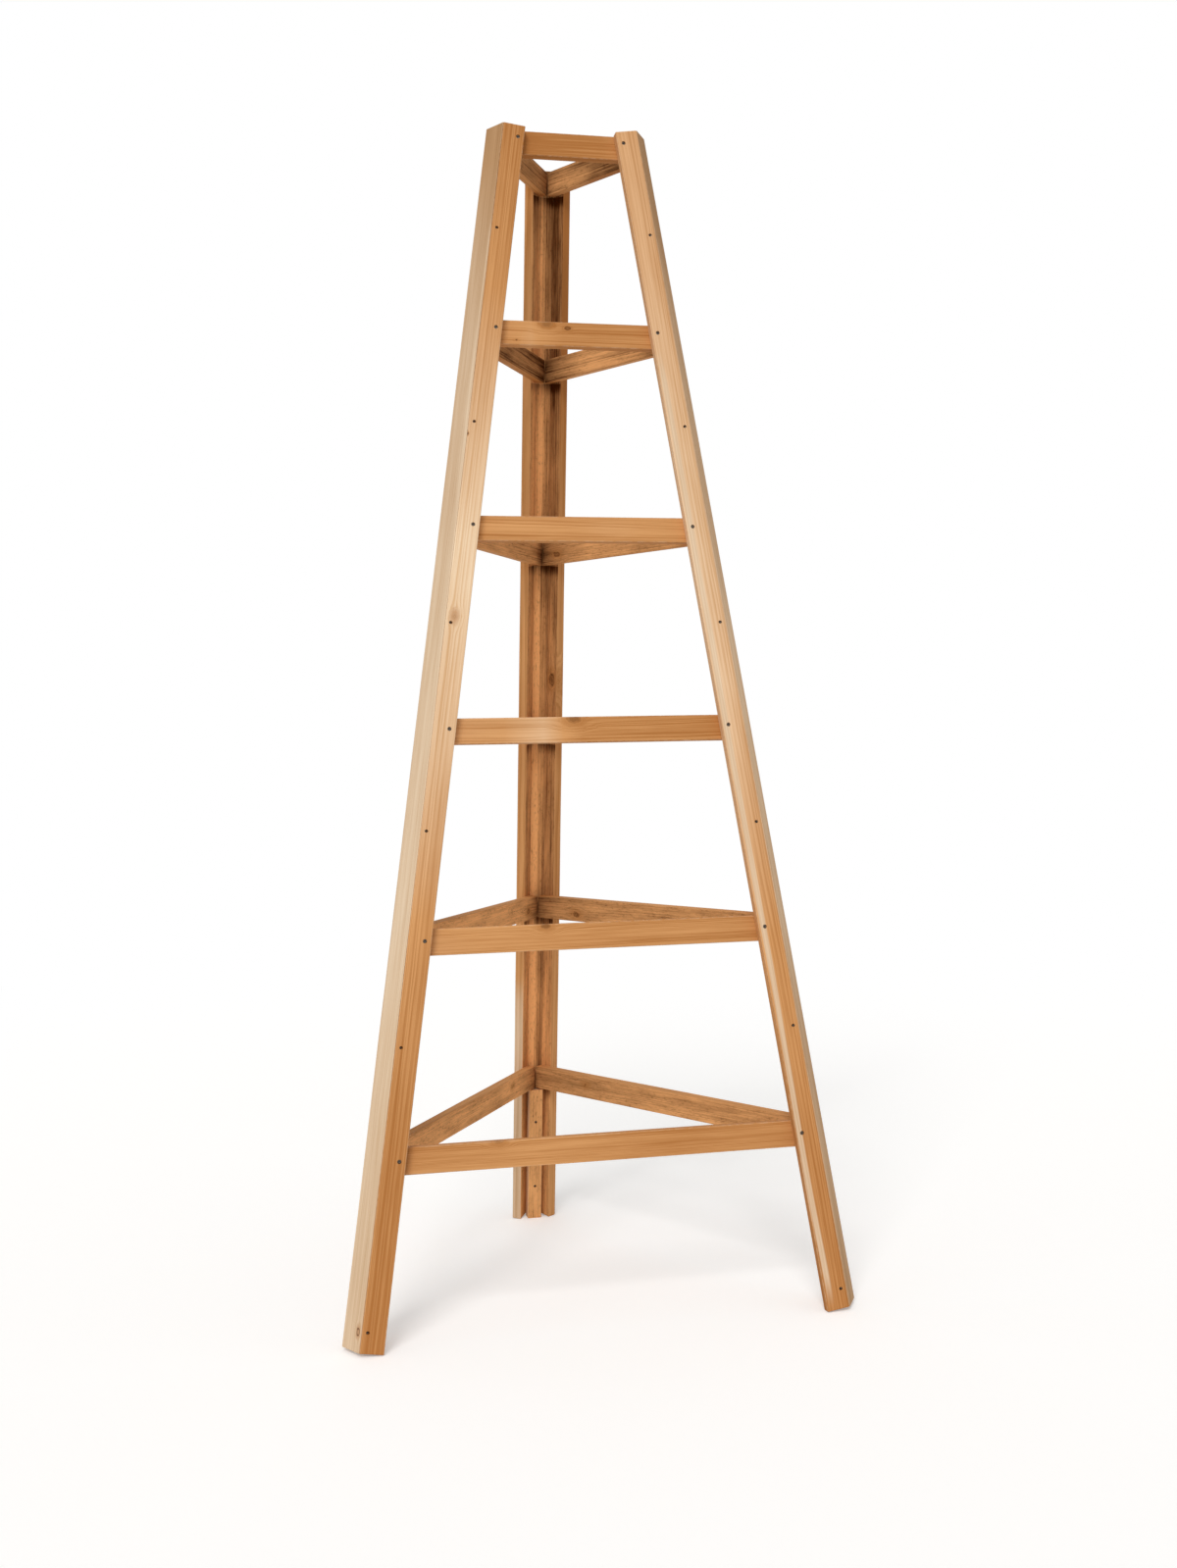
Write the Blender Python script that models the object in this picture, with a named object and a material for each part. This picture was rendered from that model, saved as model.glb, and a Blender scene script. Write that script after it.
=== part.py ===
"""Three-sided wooden garden obelisk, 1.81 m high, as separate boards and screws.

Three leaning legs stand on the corners of an equilateral triangle. Each leg is a channel of
three boards: a spine across the corner and two flanges, mitred to it along the arrises, lying
in the faces of the tower. Flat rungs are screwed to the backs of the flanges on all three
sides, and a square batten stands inside the foot of every leg.

The front looks along -Y and the back leg stands on +Y. Rungs are numbered from the ground up.
Every leg is worked out in its own frame: X is the outward normal of its spine, Y runs across
the spine and Z runs up the leg. Empties turn these frames into place.
"""
import math

import bmesh
import bpy
from mathutils import Matrix, Vector

# Driving sizes of the tower, in metres: distance of the spines' outer faces from the axis at
# the ground and at the top, height of the lowest rung's lower edge, and the ladder of rungs
FOOT_RADIUS = 0.430
TOP_RADIUS = 0.135
GROUND_CLEARANCE = 0.2376
RUNG_PITCH = 0.3056
RUNG_COUNT = 6
LEG_PROUD = 0.0068

# Boards
BOARD_THICKNESS = 0.0155
SPINE_WIDTH = 0.0424
FLANGE_WIDTH = 0.035
RUNG_HEIGHT = 0.0386
BATTEN_DEPTH = 0.022
EDGE_EASING = 0.0012
EASING_STEPS = 2

# Clearances between boards
JOINT_GAP = 0.0003
RUNG_END_GAP = 0.001
BATTEN_TOP_GAP = 0.002

# Screws
HEAD_DIAMETER = 0.0052
SMALL_HEAD = 0.0038
HEAD_RIM = 0.0005
HEAD_HEIGHT = 0.0017
SHANK_DIAMETER = 0.0030
TIP_LENGTH = 0.0030
SCREW_SIDES = 8

# How screws sit in the wood: heads below the surface, tips short of the far face
RECESS_DEPTH = 0.0018
SCREW_STOP = 0.0045
SCREW_CLEARANCE = 0.0003
HOLE_RUN_OUT = 0.0006
HOLE_WALL = 0.0010
CUTTER_OVERSHOOT = 0.006

# Heights of the screws: rise over a rung's middle, over the middle between two rungs, and the
# height of the lowest seam screws over the ground
RUNG_SCREW_RISE = 0.0025
SEAM_SCREW_RISE = 0.0085
FOOT_SEAM_HEIGHT = 0.033

# Bearings of the legs and of the faces' outward normals, seen from above
LEGS = {"left": math.radians(210.0), "right": math.radians(330.0), "back": math.radians(90.0)}
FACES = {"front": math.radians(270.0), "right": math.radians(30.0), "left": math.radians(150.0)}
HALF_CORNER = math.pi / len(LEGS)

# Shares of a batten's height at which its screws sit
BATTEN_SCREW_SHARES = (0.25, 0.75)

# Faces whose screws are solid pieces. The screws of the other faces are the same, and only
# their holes are made here.
SCREWED_FACES = ("front",)

# Colours of the cedar and the steel, as sRGB
HEARTWOOD = (0.78, 0.56, 0.35)
SAPWOOD = (0.84, 0.72, 0.59)
DARK_HEARTWOOD = (0.62, 0.42, 0.25)
STEEL = (0.62, 0.60, 0.57)
SPINE_COLOURS = {"left": SAPWOOD, "right": HEARTWOOD, "back": DARK_HEARTWOOD}
WOOD_ROUGHNESS = 0.75
STEEL_ROUGHNESS = 0.35
SMOOTH_ANGLE = math.radians(50.0)

# Heights that follow from the ladder: the top rung's upper edge, and the top of the spines
LADDER_TOP = GROUND_CLEARANCE + (RUNG_COUNT - 1) * RUNG_PITCH + RUNG_HEIGHT
LEG_TOP = LADDER_TOP + LEG_PROUD

# Slopes: the legs lean inwards, the faces between them lean less, and the angle between the
# normals of spine and flange is a little under HALF_CORNER because both lean
LEAN = math.atan((FOOT_RADIUS - TOP_RADIUS) / LEG_TOP)
FACE_LEAN = math.atan(math.tan(LEAN) * math.cos(HALF_CORNER))
SPLAY = math.acos(
    math.cos(FACE_LEAN) * math.cos(HALF_CORNER) * math.cos(LEAN)
    + math.sin(FACE_LEAN) * math.sin(LEAN)
)

# How far the mitre eats into the back of a board, and how much it gives up to the joint
MITRE_INSET = BOARD_THICKNESS * math.tan(SPLAY / 2)
MITRE_GAP = JOINT_GAP / 2 / math.cos(SPLAY / 2)

# The legs' ends are cut square, so the flange's inner corner touches the ground first
FOOT_RISE = (FLANGE_WIDTH * math.sin(SPLAY) + BOARD_THICKNESS * math.cos(SPLAY)) * math.sin(LEAN)


def radius_at(height):
    """Distance from the tower's axis to the outer face of a spine."""
    return FOOT_RADIUS - height * math.tan(LEAN)


def face_distance(height):
    """Distance from the tower's axis to one of its three faces."""
    return (radius_at(height) * math.cos(HALF_CORNER)
            + SPINE_WIDTH / 2 * math.sin(HALF_CORNER))


def rung_height(level):
    """Height of a rung's middle, where level 0 is the lowest rung."""
    return GROUND_CLEARANCE + RUNG_HEIGHT / 2 + level * RUNG_PITCH


def rung_distance(level):
    """Distance from the tower's axis to the middle of a rung's outer face."""
    depth = (BOARD_THICKNESS + JOINT_GAP) / math.cos(FACE_LEAN)
    return face_distance(rung_height(level)) - depth


def rung_half_length(level, rise):
    """Half length of a rung at a rise over its middle, just clear of its neighbour and spine.

    Two rungs meet on the plane through the tower's axis and the leg, and their inner corners
    come closest. Their outer corners come closest to the inside of the spine.
    """
    height = rung_height(level) + rise * math.cos(FACE_LEAN)
    outer_x = rung_distance(level) - rise * math.sin(FACE_LEAN)
    inner_x = outer_x - BOARD_THICKNESS * math.cos(FACE_LEAN)
    spine_back = radius_at(height) - (BOARD_THICKNESS + JOINT_GAP) / math.cos(LEAN)
    to_neighbour = inner_x * math.tan(HALF_CORNER) - RUNG_END_GAP / 2 / math.cos(HALF_CORNER)
    to_spine = (spine_back - outer_x * math.cos(HALF_CORNER)) / math.sin(HALF_CORNER)
    return min(to_neighbour, to_spine)


def leg_z(height, x):
    """Z in a leg's frame of a point at a height over the ground, at a given X in that frame."""
    return (height - FOOT_RISE - x * math.sin(LEAN)) / math.cos(LEAN)


def flange_point(side, run, depth=0.0):
    """Point of a leg's section: run along the flange from its arris, and depth into the wood."""
    x = -run * math.sin(SPLAY) - depth * math.cos(SPLAY)
    y = SPINE_WIDTH / 2 + run * math.cos(SPLAY) - depth * math.sin(SPLAY)
    return x, side * y


def eased(section, corners):
    """Outline with some of its corners rounded by EDGE_EASING."""
    outline = []
    for index, point in enumerate(section):
        here = Vector(point)
        if index not in corners:
            outline.append(here)
            continue
        back = (Vector(section[index - 1]) - here).normalized()
        ahead = (Vector(section[(index + 1) % len(section)]) - here).normalized()
        half_angle = back.angle(ahead) / 2
        radius = EDGE_EASING * math.tan(half_angle)
        centre = here + (back + ahead).normalized() * radius / math.sin(half_angle)
        start = here + back * EDGE_EASING - centre
        end = here + ahead * EDGE_EASING - centre
        sweep = start.angle_signed(end)
        for step in range(EASING_STEPS + 1):
            outline.append(centre + Matrix.Rotation(-sweep * step / EASING_STEPS, 2) @ start)
    return outline


def prism_mesh(name, section, low_end, high_end):
    """Mesh of a section carried along Z between two ends, each given as Z for an X and a Y."""
    bm = bmesh.new()
    low = [bm.verts.new((x, y, low_end(x, y))) for x, y in section]
    high = [bm.verts.new((x, y, high_end(x, y))) for x, y in section]
    bm.faces.new(low)
    bm.faces.new(high)
    for index in range(len(section)):
        bm.faces.new((low[index - 1], low[index], high[index], high[index - 1]))
    return closed_mesh(name, bm)


def closed_mesh(name, bm):
    """Mesh with its faces pointing out."""
    bmesh.ops.recalc_face_normals(bm, faces=bm.faces)
    mesh = bpy.data.meshes.new(name)
    bm.to_mesh(mesh)
    bm.free()
    return mesh


def add_turned(bm, profile, place):
    """Add a closed turned solid, with its profile as (depth, radius) along Z, at a place."""
    rings = []
    for depth, radius in profile:
        angles = [2 * math.pi * k / SCREW_SIDES for k in range(SCREW_SIDES)] if radius else [0.0]
        ring = [(radius * math.cos(a), radius * math.sin(a), depth) for a in angles]
        rings.append([bm.verts.new(place @ Vector(point)) for point in ring])
    for near, far in zip(rings, rings[1:]):
        for k in range(SCREW_SIDES):
            tip = len(far) == 1
            end = (far[0],) if tip else (far[k], far[k - 1])
            bm.faces.new((near[k - 1], near[k], *end))
    for ring in (rings[0], rings[-1]):
        if len(ring) > 1:
            bm.faces.new(ring)


def screw_profile(reach, head_diameter):
    """Countersunk wood screw whose tip reaches a depth under the surface."""
    head = head_diameter / 2
    shank = SHANK_DIAMETER / 2
    return [(RECESS_DEPTH, head), (RECESS_DEPTH + HEAD_RIM, head),
            (RECESS_DEPTH + HEAD_HEIGHT, shank), (reach - TIP_LENGTH, shank), (reach, 0.0)]


def hole_profile(reach, head_diameter):
    """Hole around that screw, open above the surface and blind past the tip."""
    head = head_diameter / 2 + SCREW_CLEARANCE
    shank = SHANK_DIAMETER / 2 + SCREW_CLEARANCE
    rim = RECESS_DEPTH + HEAD_RIM + SCREW_CLEARANCE
    neck = RECESS_DEPTH + HEAD_HEIGHT + SCREW_CLEARANCE
    return [(-CUTTER_OVERSHOOT, head), (rim, head), (neck, shank), (reach + HOLE_RUN_OUT, shank)]


def rung_screws(side):
    """Screws from a flange's face into the ends of the rungs.

    Every screw is an (entry, inward, reach, head) with its way in and its head's diameter.
    Each stands in the middle of the stretch where the rung's top and the flange overlap.
    """
    face_slope = math.atan(math.tan(LEAN) * math.cos(FACE_LEAN) * math.sin(HALF_CORNER))
    inward = (-math.cos(SPLAY), -side * math.sin(SPLAY), 0.0)
    reach = 2 * BOARD_THICKNESS + JOINT_GAP - SCREW_STOP
    places = []
    for level in range(RUNG_COUNT):
        middle = rung_height(level)
        arris_y = (radius_at(middle) * math.sin(HALF_CORNER)
                   - SPINE_WIDTH / 2 * math.cos(HALF_CORNER))
        top_end = rung_half_length(level, RUNG_HEIGHT / 2)
        rung_end = (arris_y - top_end) * math.cos(face_slope)
        x, y = flange_point(side, (rung_end + FLANGE_WIDTH) / 2)
        height = middle + RUNG_SCREW_RISE + BOARD_THICKNESS * math.sin(FACE_LEAN)
        places.append(((x, y, leg_z(height, x)), inward, reach, HEAD_DIAMETER))
    return places


def seam_screws(side):
    """Screws with small heads from a flange's face along the middle of the spine's thickness.

    Their tips stop short of the spine's middle, where the batten's screws come through.
    """
    run = BOARD_THICKNESS / 2 / math.sin(SPLAY)
    x, y = flange_point(side, run)
    tip_y = SHANK_DIAMETER / 2 + SCREW_CLEARANCE + HOLE_WALL + HOLE_RUN_OUT
    first = rung_height(0) + RUNG_PITCH / 2 + SEAM_SCREW_RISE
    heights = [FOOT_SEAM_HEIGHT] + [first + k * RUNG_PITCH for k in range(RUNG_COUNT - 1)]
    inward = (0.0, -side, 0.0)
    return [((x, y, leg_z(height, x)), inward, abs(y) - tip_y, SMALL_HEAD)
            for height in heights]


def batten_top():
    """Height of a batten's level top, just under the lowest rungs."""
    return GROUND_CLEARANCE - BOARD_THICKNESS * math.sin(FACE_LEAN) - BATTEN_TOP_GAP


def batten_screws():
    """Screws with small heads from a batten's inner face through it into the spine."""
    x = -BOARD_THICKNESS - JOINT_GAP - BATTEN_DEPTH
    reach = BATTEN_DEPTH + JOINT_GAP + BOARD_THICKNESS - SCREW_STOP
    return [((x, 0.0, leg_z(share * batten_top(), x)), (1.0, 0.0, 0.0), reach, SMALL_HEAD)
            for share in BATTEN_SCREW_SHARES]


def screw_mesh(reach, head):
    """Screw with its entry at the origin, driven along +Z."""
    bm = bmesh.new()
    add_turned(bm, screw_profile(reach, head), Matrix())
    mesh = closed_mesh("screw", bm)
    mesh.shade_smooth()
    mesh.set_sharp_from_angle(angle=SMOOTH_ANGLE)
    return mesh


def holes_mesh(places):
    """Separate turned cutters, one for the hole of each screw."""
    bm = bmesh.new()
    for entry, inward, reach, head in places:
        turn = Vector(inward).to_track_quat("Z", "Y").to_matrix().to_4x4()
        add_turned(bm, hole_profile(reach, head), Matrix.Translation(entry) @ turn)
    return closed_mesh("holes", bm)


def spine_mesh():
    """Board across the corner, mitred on both long edges."""
    outer = SPINE_WIDTH / 2 - MITRE_GAP
    inner = outer - MITRE_INSET
    back = -BOARD_THICKNESS
    section = [(0.0, -outer), (0.0, outer), (back, inner), (back, -inner)]
    return prism_mesh("spine", eased(section, (0, 1)), leg_foot, leg_head)


def flange_mesh(side):
    """Board in a face of the tower, mitred to the spine along one edge."""
    section = [
        flange_point(side, MITRE_GAP),
        flange_point(side, FLANGE_WIDTH),
        flange_point(side, FLANGE_WIDTH, BOARD_THICKNESS),
        flange_point(side, MITRE_INSET + MITRE_GAP, BOARD_THICKNESS),
    ]
    return prism_mesh("flange", eased(section, (0, 1, 2)), leg_foot, leg_head)


def leg_foot(_x, _y):
    """Square-cut lower end of the legs' boards."""
    return 0.0


def leg_head(_x, _y):
    """Square-cut upper end of the legs' boards."""
    return leg_z(LEG_TOP, 0.0)


def batten_mesh():
    """Square batten that fills the channel behind the spine, cut level at both ends."""
    half_width = SPINE_WIDTH / 2 - MITRE_INSET - MITRE_GAP
    near = -BOARD_THICKNESS - JOINT_GAP
    far = near - BATTEN_DEPTH
    section = [(near, -half_width), (near, half_width), (far, half_width), (far, -half_width)]
    return prism_mesh("batten", eased(section, (2, 3)), lambda x, _y: leg_z(0.0, x),
                      lambda x, _y: leg_z(batten_top(), x))


def rung_mesh(level):
    """Flat rung with its length along Z, its outer face at X = 0 and all long edges eased.

    Y runs down across it, and its ends are cut on the slant of the legs.
    """
    half = RUNG_HEIGHT / 2
    back = -BOARD_THICKNESS
    section = [(0.0, -half), (0.0, half), (back, half), (back, -half)]
    top_reach = rung_half_length(level, half)
    slant = (rung_half_length(level, -half) - top_reach) / RUNG_HEIGHT

    def end(_x, y):
        return top_reach + slant * (y + half)

    return prism_mesh("rung", eased(section, (0, 1, 2, 3)), lambda x, y: -end(x, y), end)


def srgb_to_linear(value):
    """Linear value of one sRGB channel."""
    return value / 12.92 if value <= 0.04045 else ((value + 0.055) / 1.055) ** 2.4


def add_empty(name, parent, location, rotation):
    """Empty that carries a leg or a face of the tower."""
    empty = bpy.data.objects.new(name, None)
    bpy.context.scene.collection.objects.link(empty)
    empty.parent = parent
    empty.location = location
    empty.rotation_euler = rotation
    return empty


def add_object(name, mesh, parent):
    """Object with a mesh, under an empty."""
    obj = bpy.data.objects.new(name, mesh)
    bpy.context.scene.collection.objects.link(obj)
    obj.parent = parent
    return obj


def add_piece(name, mesh, parent, colour, roughness=WOOD_ROUGHNESS, metallic=0.0):
    """Piece of the obelisk with a material of its own."""
    obj = add_object(name, mesh.copy(), parent)
    material = bpy.data.materials.new(name)
    material.use_nodes = True
    shader = material.node_tree.nodes["Principled BSDF"]
    shader.inputs["Base Color"].default_value = [srgb_to_linear(c) for c in colour] + [1.0]
    shader.inputs["Roughness"].default_value = roughness
    shader.inputs["Metallic"].default_value = metallic
    obj.data.materials.append(material)
    return obj


def add_screws(names, places, parent):
    """The screws at a row of places, each as a piece of its own."""
    for name, (entry, inward, reach, head) in zip(names, places):
        mesh = screw_mesh(reach, head)
        screw = add_piece(name, mesh, parent, STEEL, STEEL_ROUGHNESS, metallic=1.0)
        screw.location = entry
        screw.rotation_euler = Vector(inward).to_track_quat("Z", "Y").to_euler()


def add_cutter(name, places, parent):
    """Hidden cutter for the holes of a row of screws."""
    cutter = add_object(name, holes_mesh(places), parent)
    cutter.hide_render = True
    cutter.display_type = "WIRE"
    return cutter


def drill(obj, cutters):
    """Cut holes into a board."""
    for cutter in cutters:
        modifier = obj.modifiers.new(cutter.name, "BOOLEAN")
        modifier.operation = "DIFFERENCE"
        modifier.solver = "EXACT"
        modifier.object = cutter


def face_beside(bearing, side):
    """Name of the face on one side of the leg that stands at a bearing."""
    normal = (bearing + side * HALF_CORNER) % (2 * math.pi)
    return min(FACES, key=lambda name: abs(FACES[name] - normal))


def build_flange(leg_name, face, side, leg):
    """A flange with the screws through it. Returns the cutters of its seam and rung holes."""
    title = f"{leg_name}_leg_{face}"
    seams = seam_screws(side)
    rungs = rung_screws(side)
    if face in SCREWED_FACES:
        add_screws([f"{title}_seam_screw_{k + 1}" for k in range(len(seams))], seams, leg)
        add_screws([f"{face}_rung_{k + 1}_{leg_name}_screw" for k in range(len(rungs))], rungs, leg)
    seam_holes = add_cutter(title + "_seam_holes", seams, leg)
    rung_holes = add_cutter(title + "_rung_holes", rungs, leg)
    flange = add_piece(title + "_flange", flange_mesh(side), leg, HEARTWOOD)
    drill(flange, [seam_holes, rung_holes])
    return seam_holes, rung_holes


def build_leg(name, bearing, tower):
    """One leg: spine, two flanges, batten and their screws. Returns the rungs' hole cutters."""
    corner = add_empty(name + "_corner", tower, (0.0, 0.0, 0.0), (0.0, 0.0, bearing))
    foot = (radius_at(FOOT_RISE), 0.0, FOOT_RISE)
    leg = add_empty(name + "_leg", corner, foot, (0.0, -LEAN, 0.0))

    batten_places = batten_screws()
    add_screws([f"{name}_batten_screw_{k + 1}" for k in range(len(batten_places))],
               batten_places, leg)
    batten_holes = add_cutter(name + "_batten_holes", batten_places, leg)
    batten = add_piece(name + "_leg_batten", batten_mesh(), leg, HEARTWOOD)
    drill(batten, [batten_holes])

    spine_holes = [batten_holes]
    rung_holes = {}
    for side in (1, -1):
        face = face_beside(bearing, side)
        seam_holes, rung_holes[face] = build_flange(name, face, side, leg)
        spine_holes.append(seam_holes)
    spine = add_piece(name + "_leg_spine", spine_mesh(), leg, SPINE_COLOURS[name])
    drill(spine, spine_holes)
    return rung_holes


def build_rungs(name, bearing, tower, cutters):
    """The ladder of rungs on one face, drilled by the screws of the legs at both ends."""
    face = add_empty(name + "_face", tower, (0.0, 0.0, 0.0), (0.0, 0.0, bearing))
    for level in range(RUNG_COUNT):
        rung = add_piece(f"{name}_rung_{level + 1}", rung_mesh(level), face, HEARTWOOD)
        rung.location = (rung_distance(level), 0.0, rung_height(level))
        rung.rotation_euler = (-math.pi / 2, -FACE_LEAN, 0.0)
        drill(rung, cutters)


def tower_axis_y():
    """Y of the tower's axis that centres the whole obelisk on the origin.

    The back spine's lower edge reaches furthest back, and the lower corners of the front
    flanges reach furthest to the front.
    """
    corner_height = FOOT_RISE - (FLANGE_WIDTH - EDGE_EASING) * math.sin(SPLAY) * math.sin(LEAN)
    return (face_distance(corner_height) - radius_at(FOOT_RISE)) / 2


def build_obelisk():
    """All legs and rungs around the tower's axis."""
    tower = add_empty("tower", None, (0.0, tower_axis_y(), 0.0), (0.0, 0.0, 0.0))
    cutters = {name: [] for name in FACES}
    for name, bearing in LEGS.items():
        for face, holes in build_leg(name, bearing, tower).items():
            cutters[face].append(holes)
    for name, bearing in FACES.items():
        build_rungs(name, bearing, tower, cutters[name])


for old in list(bpy.data.objects):
    bpy.data.objects.remove(old)
build_obelisk()
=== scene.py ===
"""Dresses the three-sided cedar obelisk: boards with eased and chipped edges, pale with fuzz and a
painted highlight, screws and a studio.

Every board is a surface worked out in its own coordinates, X along the grain, Y across the
board and Z out of its face, and then set in place. The same coordinates are kept on the mesh as
the attribute "board", so that the growth rings of its cedar run through the solid.
"""
import math
from collections import namedtuple
from functools import partial

import bpy
import numpy as np
from bpy.props import FloatProperty, FloatVectorProperty, IntProperty, PointerProperty
from mathutils import Matrix, Vector


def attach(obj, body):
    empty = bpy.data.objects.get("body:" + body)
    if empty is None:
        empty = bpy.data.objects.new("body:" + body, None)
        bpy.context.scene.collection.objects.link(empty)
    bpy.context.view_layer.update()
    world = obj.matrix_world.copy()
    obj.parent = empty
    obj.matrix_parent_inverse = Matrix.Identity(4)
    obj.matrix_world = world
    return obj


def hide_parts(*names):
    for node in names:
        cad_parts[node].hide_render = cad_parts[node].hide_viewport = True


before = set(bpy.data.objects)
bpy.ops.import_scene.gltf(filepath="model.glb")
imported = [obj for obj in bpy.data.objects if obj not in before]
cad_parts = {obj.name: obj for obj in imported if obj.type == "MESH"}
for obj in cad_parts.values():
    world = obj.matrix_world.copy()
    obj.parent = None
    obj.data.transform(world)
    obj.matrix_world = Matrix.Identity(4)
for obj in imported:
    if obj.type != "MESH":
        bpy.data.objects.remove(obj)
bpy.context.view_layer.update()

bl_info = {
    "name": "Cedar Obelisk",
    "version": (1, 0, 0),
    "blender": (4, 5, 0),
    "location": "View3D > Sidebar > Obelisk",
    "description": "Boards, screws and studio of a three-sided garden obelisk",
    "category": "Object",
}

LEGS = {"left": math.radians(210.0), "right": math.radians(330.0), "back": math.radians(90.0)}
FACES = {"front": math.radians(270.0), "right": math.radians(30.0), "left": math.radians(150.0)}
HALF_CORNER = math.pi / len(LEGS)
SCREWED_FACE = "front"
BATTEN_SCREW_SHARES = (0.25, 0.75)
MM = 0.001


def length_property(name, description, default):
    """A length in metres, as a panel shows it."""
    return FloatProperty(name=name, description=description, default=default, unit="LENGTH",
                         precision=4, min=0.0)


def hex_channels(code):
    """sRGB channels, 0 to 1, of a hex colour."""
    return tuple(int(code[k:k + 2], 16) / 255 for k in (1, 3, 5))


def colour_property(name, description, code):
    """A colour kept as sRGB, as a panel shows it."""
    return FloatVectorProperty(name=name, description=description, default=hex_channels(code),
                               subtype="COLOR_GAMMA", size=3, min=0.0, max=1.0)


class OBELISK_PG_sizes(bpy.types.PropertyGroup):
    """Sizes of the tower and its boards, the same as the solids have."""

    foot_radius: length_property("Foot radius", "Axis to the spines' faces at the ground", 0.430)
    top_radius: length_property("Top radius", "Axis to the spines' faces at the top", 0.135)
    clearance: length_property("Ground clearance", "Ground to the lowest rungs", 0.2376)
    pitch: length_property("Rung pitch", "Height from one rung to the next", 0.3056)
    rungs: IntProperty(name="Rungs", description="Rungs on each face", default=6, min=1)
    proud: length_property("Leg proud", "Height of the legs over the top rungs", 0.0068)
    thickness: length_property("Board thickness", "Thickness of every board", 0.0155)
    spine_width: length_property("Spine width", "Width of the legs' corner boards", 0.0424)
    flange_width: length_property("Flange width", "Width of the legs' side boards", 0.035)
    rung_height: length_property("Rung height", "Width of the rungs' boards", 0.0386)
    batten_depth: length_property("Batten depth", "Depth of the battens in the feet", 0.022)
    easing: length_property("Edge easing", "How far the planed edges are rounded", 0.0012)
    gap: length_property("Joint gap", "Gap between touching boards", 0.0003)
    rung_gap: length_property("Rung end gap", "Gap between neighbouring rungs' corners", 0.001)
    batten_gap: length_property("Batten gap", "Gap over the battens", 0.002)


class OBELISK_PG_screws(bpy.types.PropertyGroup):
    """Sizes of the screws and of their holes."""

    head: length_property("Head", "Diameter of the screws' heads", 0.0052)
    small_head: length_property("Small head", "Heads of the seams' and battens' screws", 0.0038)
    rim: length_property("Rim", "Height of the heads' straight rims", 0.0005)
    head_height: length_property("Head height", "Height of the heads down to the shanks", 0.0017)
    shank: length_property("Shank", "Diameter over the threads", 0.0030)
    tip: length_property("Tip", "Length of the points", 0.0030)
    thread: length_property("Thread pitch", "Distance between the turns of the thread", 0.0014)
    recess: length_property("Recess", "Depth of the heads below the wood", 0.0018)
    stop: length_property("Stop", "Wood left in front of the points", 0.0045)
    clearance: length_property("Clearance", "Gap around the screws", 0.0003)
    run_out: length_property("Run-out", "Hole past the points", 0.0006)
    wall: length_property("Hole wall", "Wood between two screws' holes", 0.0010)
    rung_rise: length_property("Rung screw rise", "Screws over the rungs' middles", 0.0025)
    seam_rise: length_property("Seam screw rise", "Screws over the middles between rungs", 0.0085)
    foot_seam: length_property("Foot seam screw", "Height of the lowest seam screws", 0.033)


class OBELISK_PG_colours(bpy.types.PropertyGroup):
    """Colours of the cedar, the steel and the studio."""

    pale_light: colour_property("Pale heartwood", "Early wood of pale heartwood", "#FBE1C0")
    pale_dark: colour_property("Pale lines", "Late wood of pale heartwood", "#DAAB78")
    ripe_light: colour_property("Ripe heartwood", "Early wood of ripe heartwood", "#E1A76E")
    ripe_dark: colour_property("Ripe lines", "Late wood of ripe heartwood", "#B1743E")
    sap_light: colour_property("Sapwood", "Early wood of the sapwood", "#EDD5B7")
    sap_dark: colour_property("Sapwood lines", "Late wood of the sapwood", "#CAA57D")
    grey_light: colour_property("Greyed wood", "Early wood greyed by the sun", "#C89E74")
    grey_dark: colour_property("Greyed lines", "Late wood greyed by the sun", "#A2784E")
    # The sawn colours are dark partly as rough sawn cedar and partly as painted shade inside the
    # tower
    sawn_light: colour_property("Sawn wood", "Early wood of the sawn inner faces", "#FAB777")
    sawn_dark: colour_property("Sawn lines", "Late wood of the sawn inner faces", "#4A2203")
    knot: colour_property("Knots", "Heart of the knots", "#4A2509")
    # The steel is darker and browner than bare stainless, as painted shade for heads sunk in their
    # holes
    steel: colour_property("Screw steel", "Stainless steel of the screws", "#857A6E")
    floor: colour_property("Floor", "Pale studio floor", "#F2F1EF")


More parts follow.
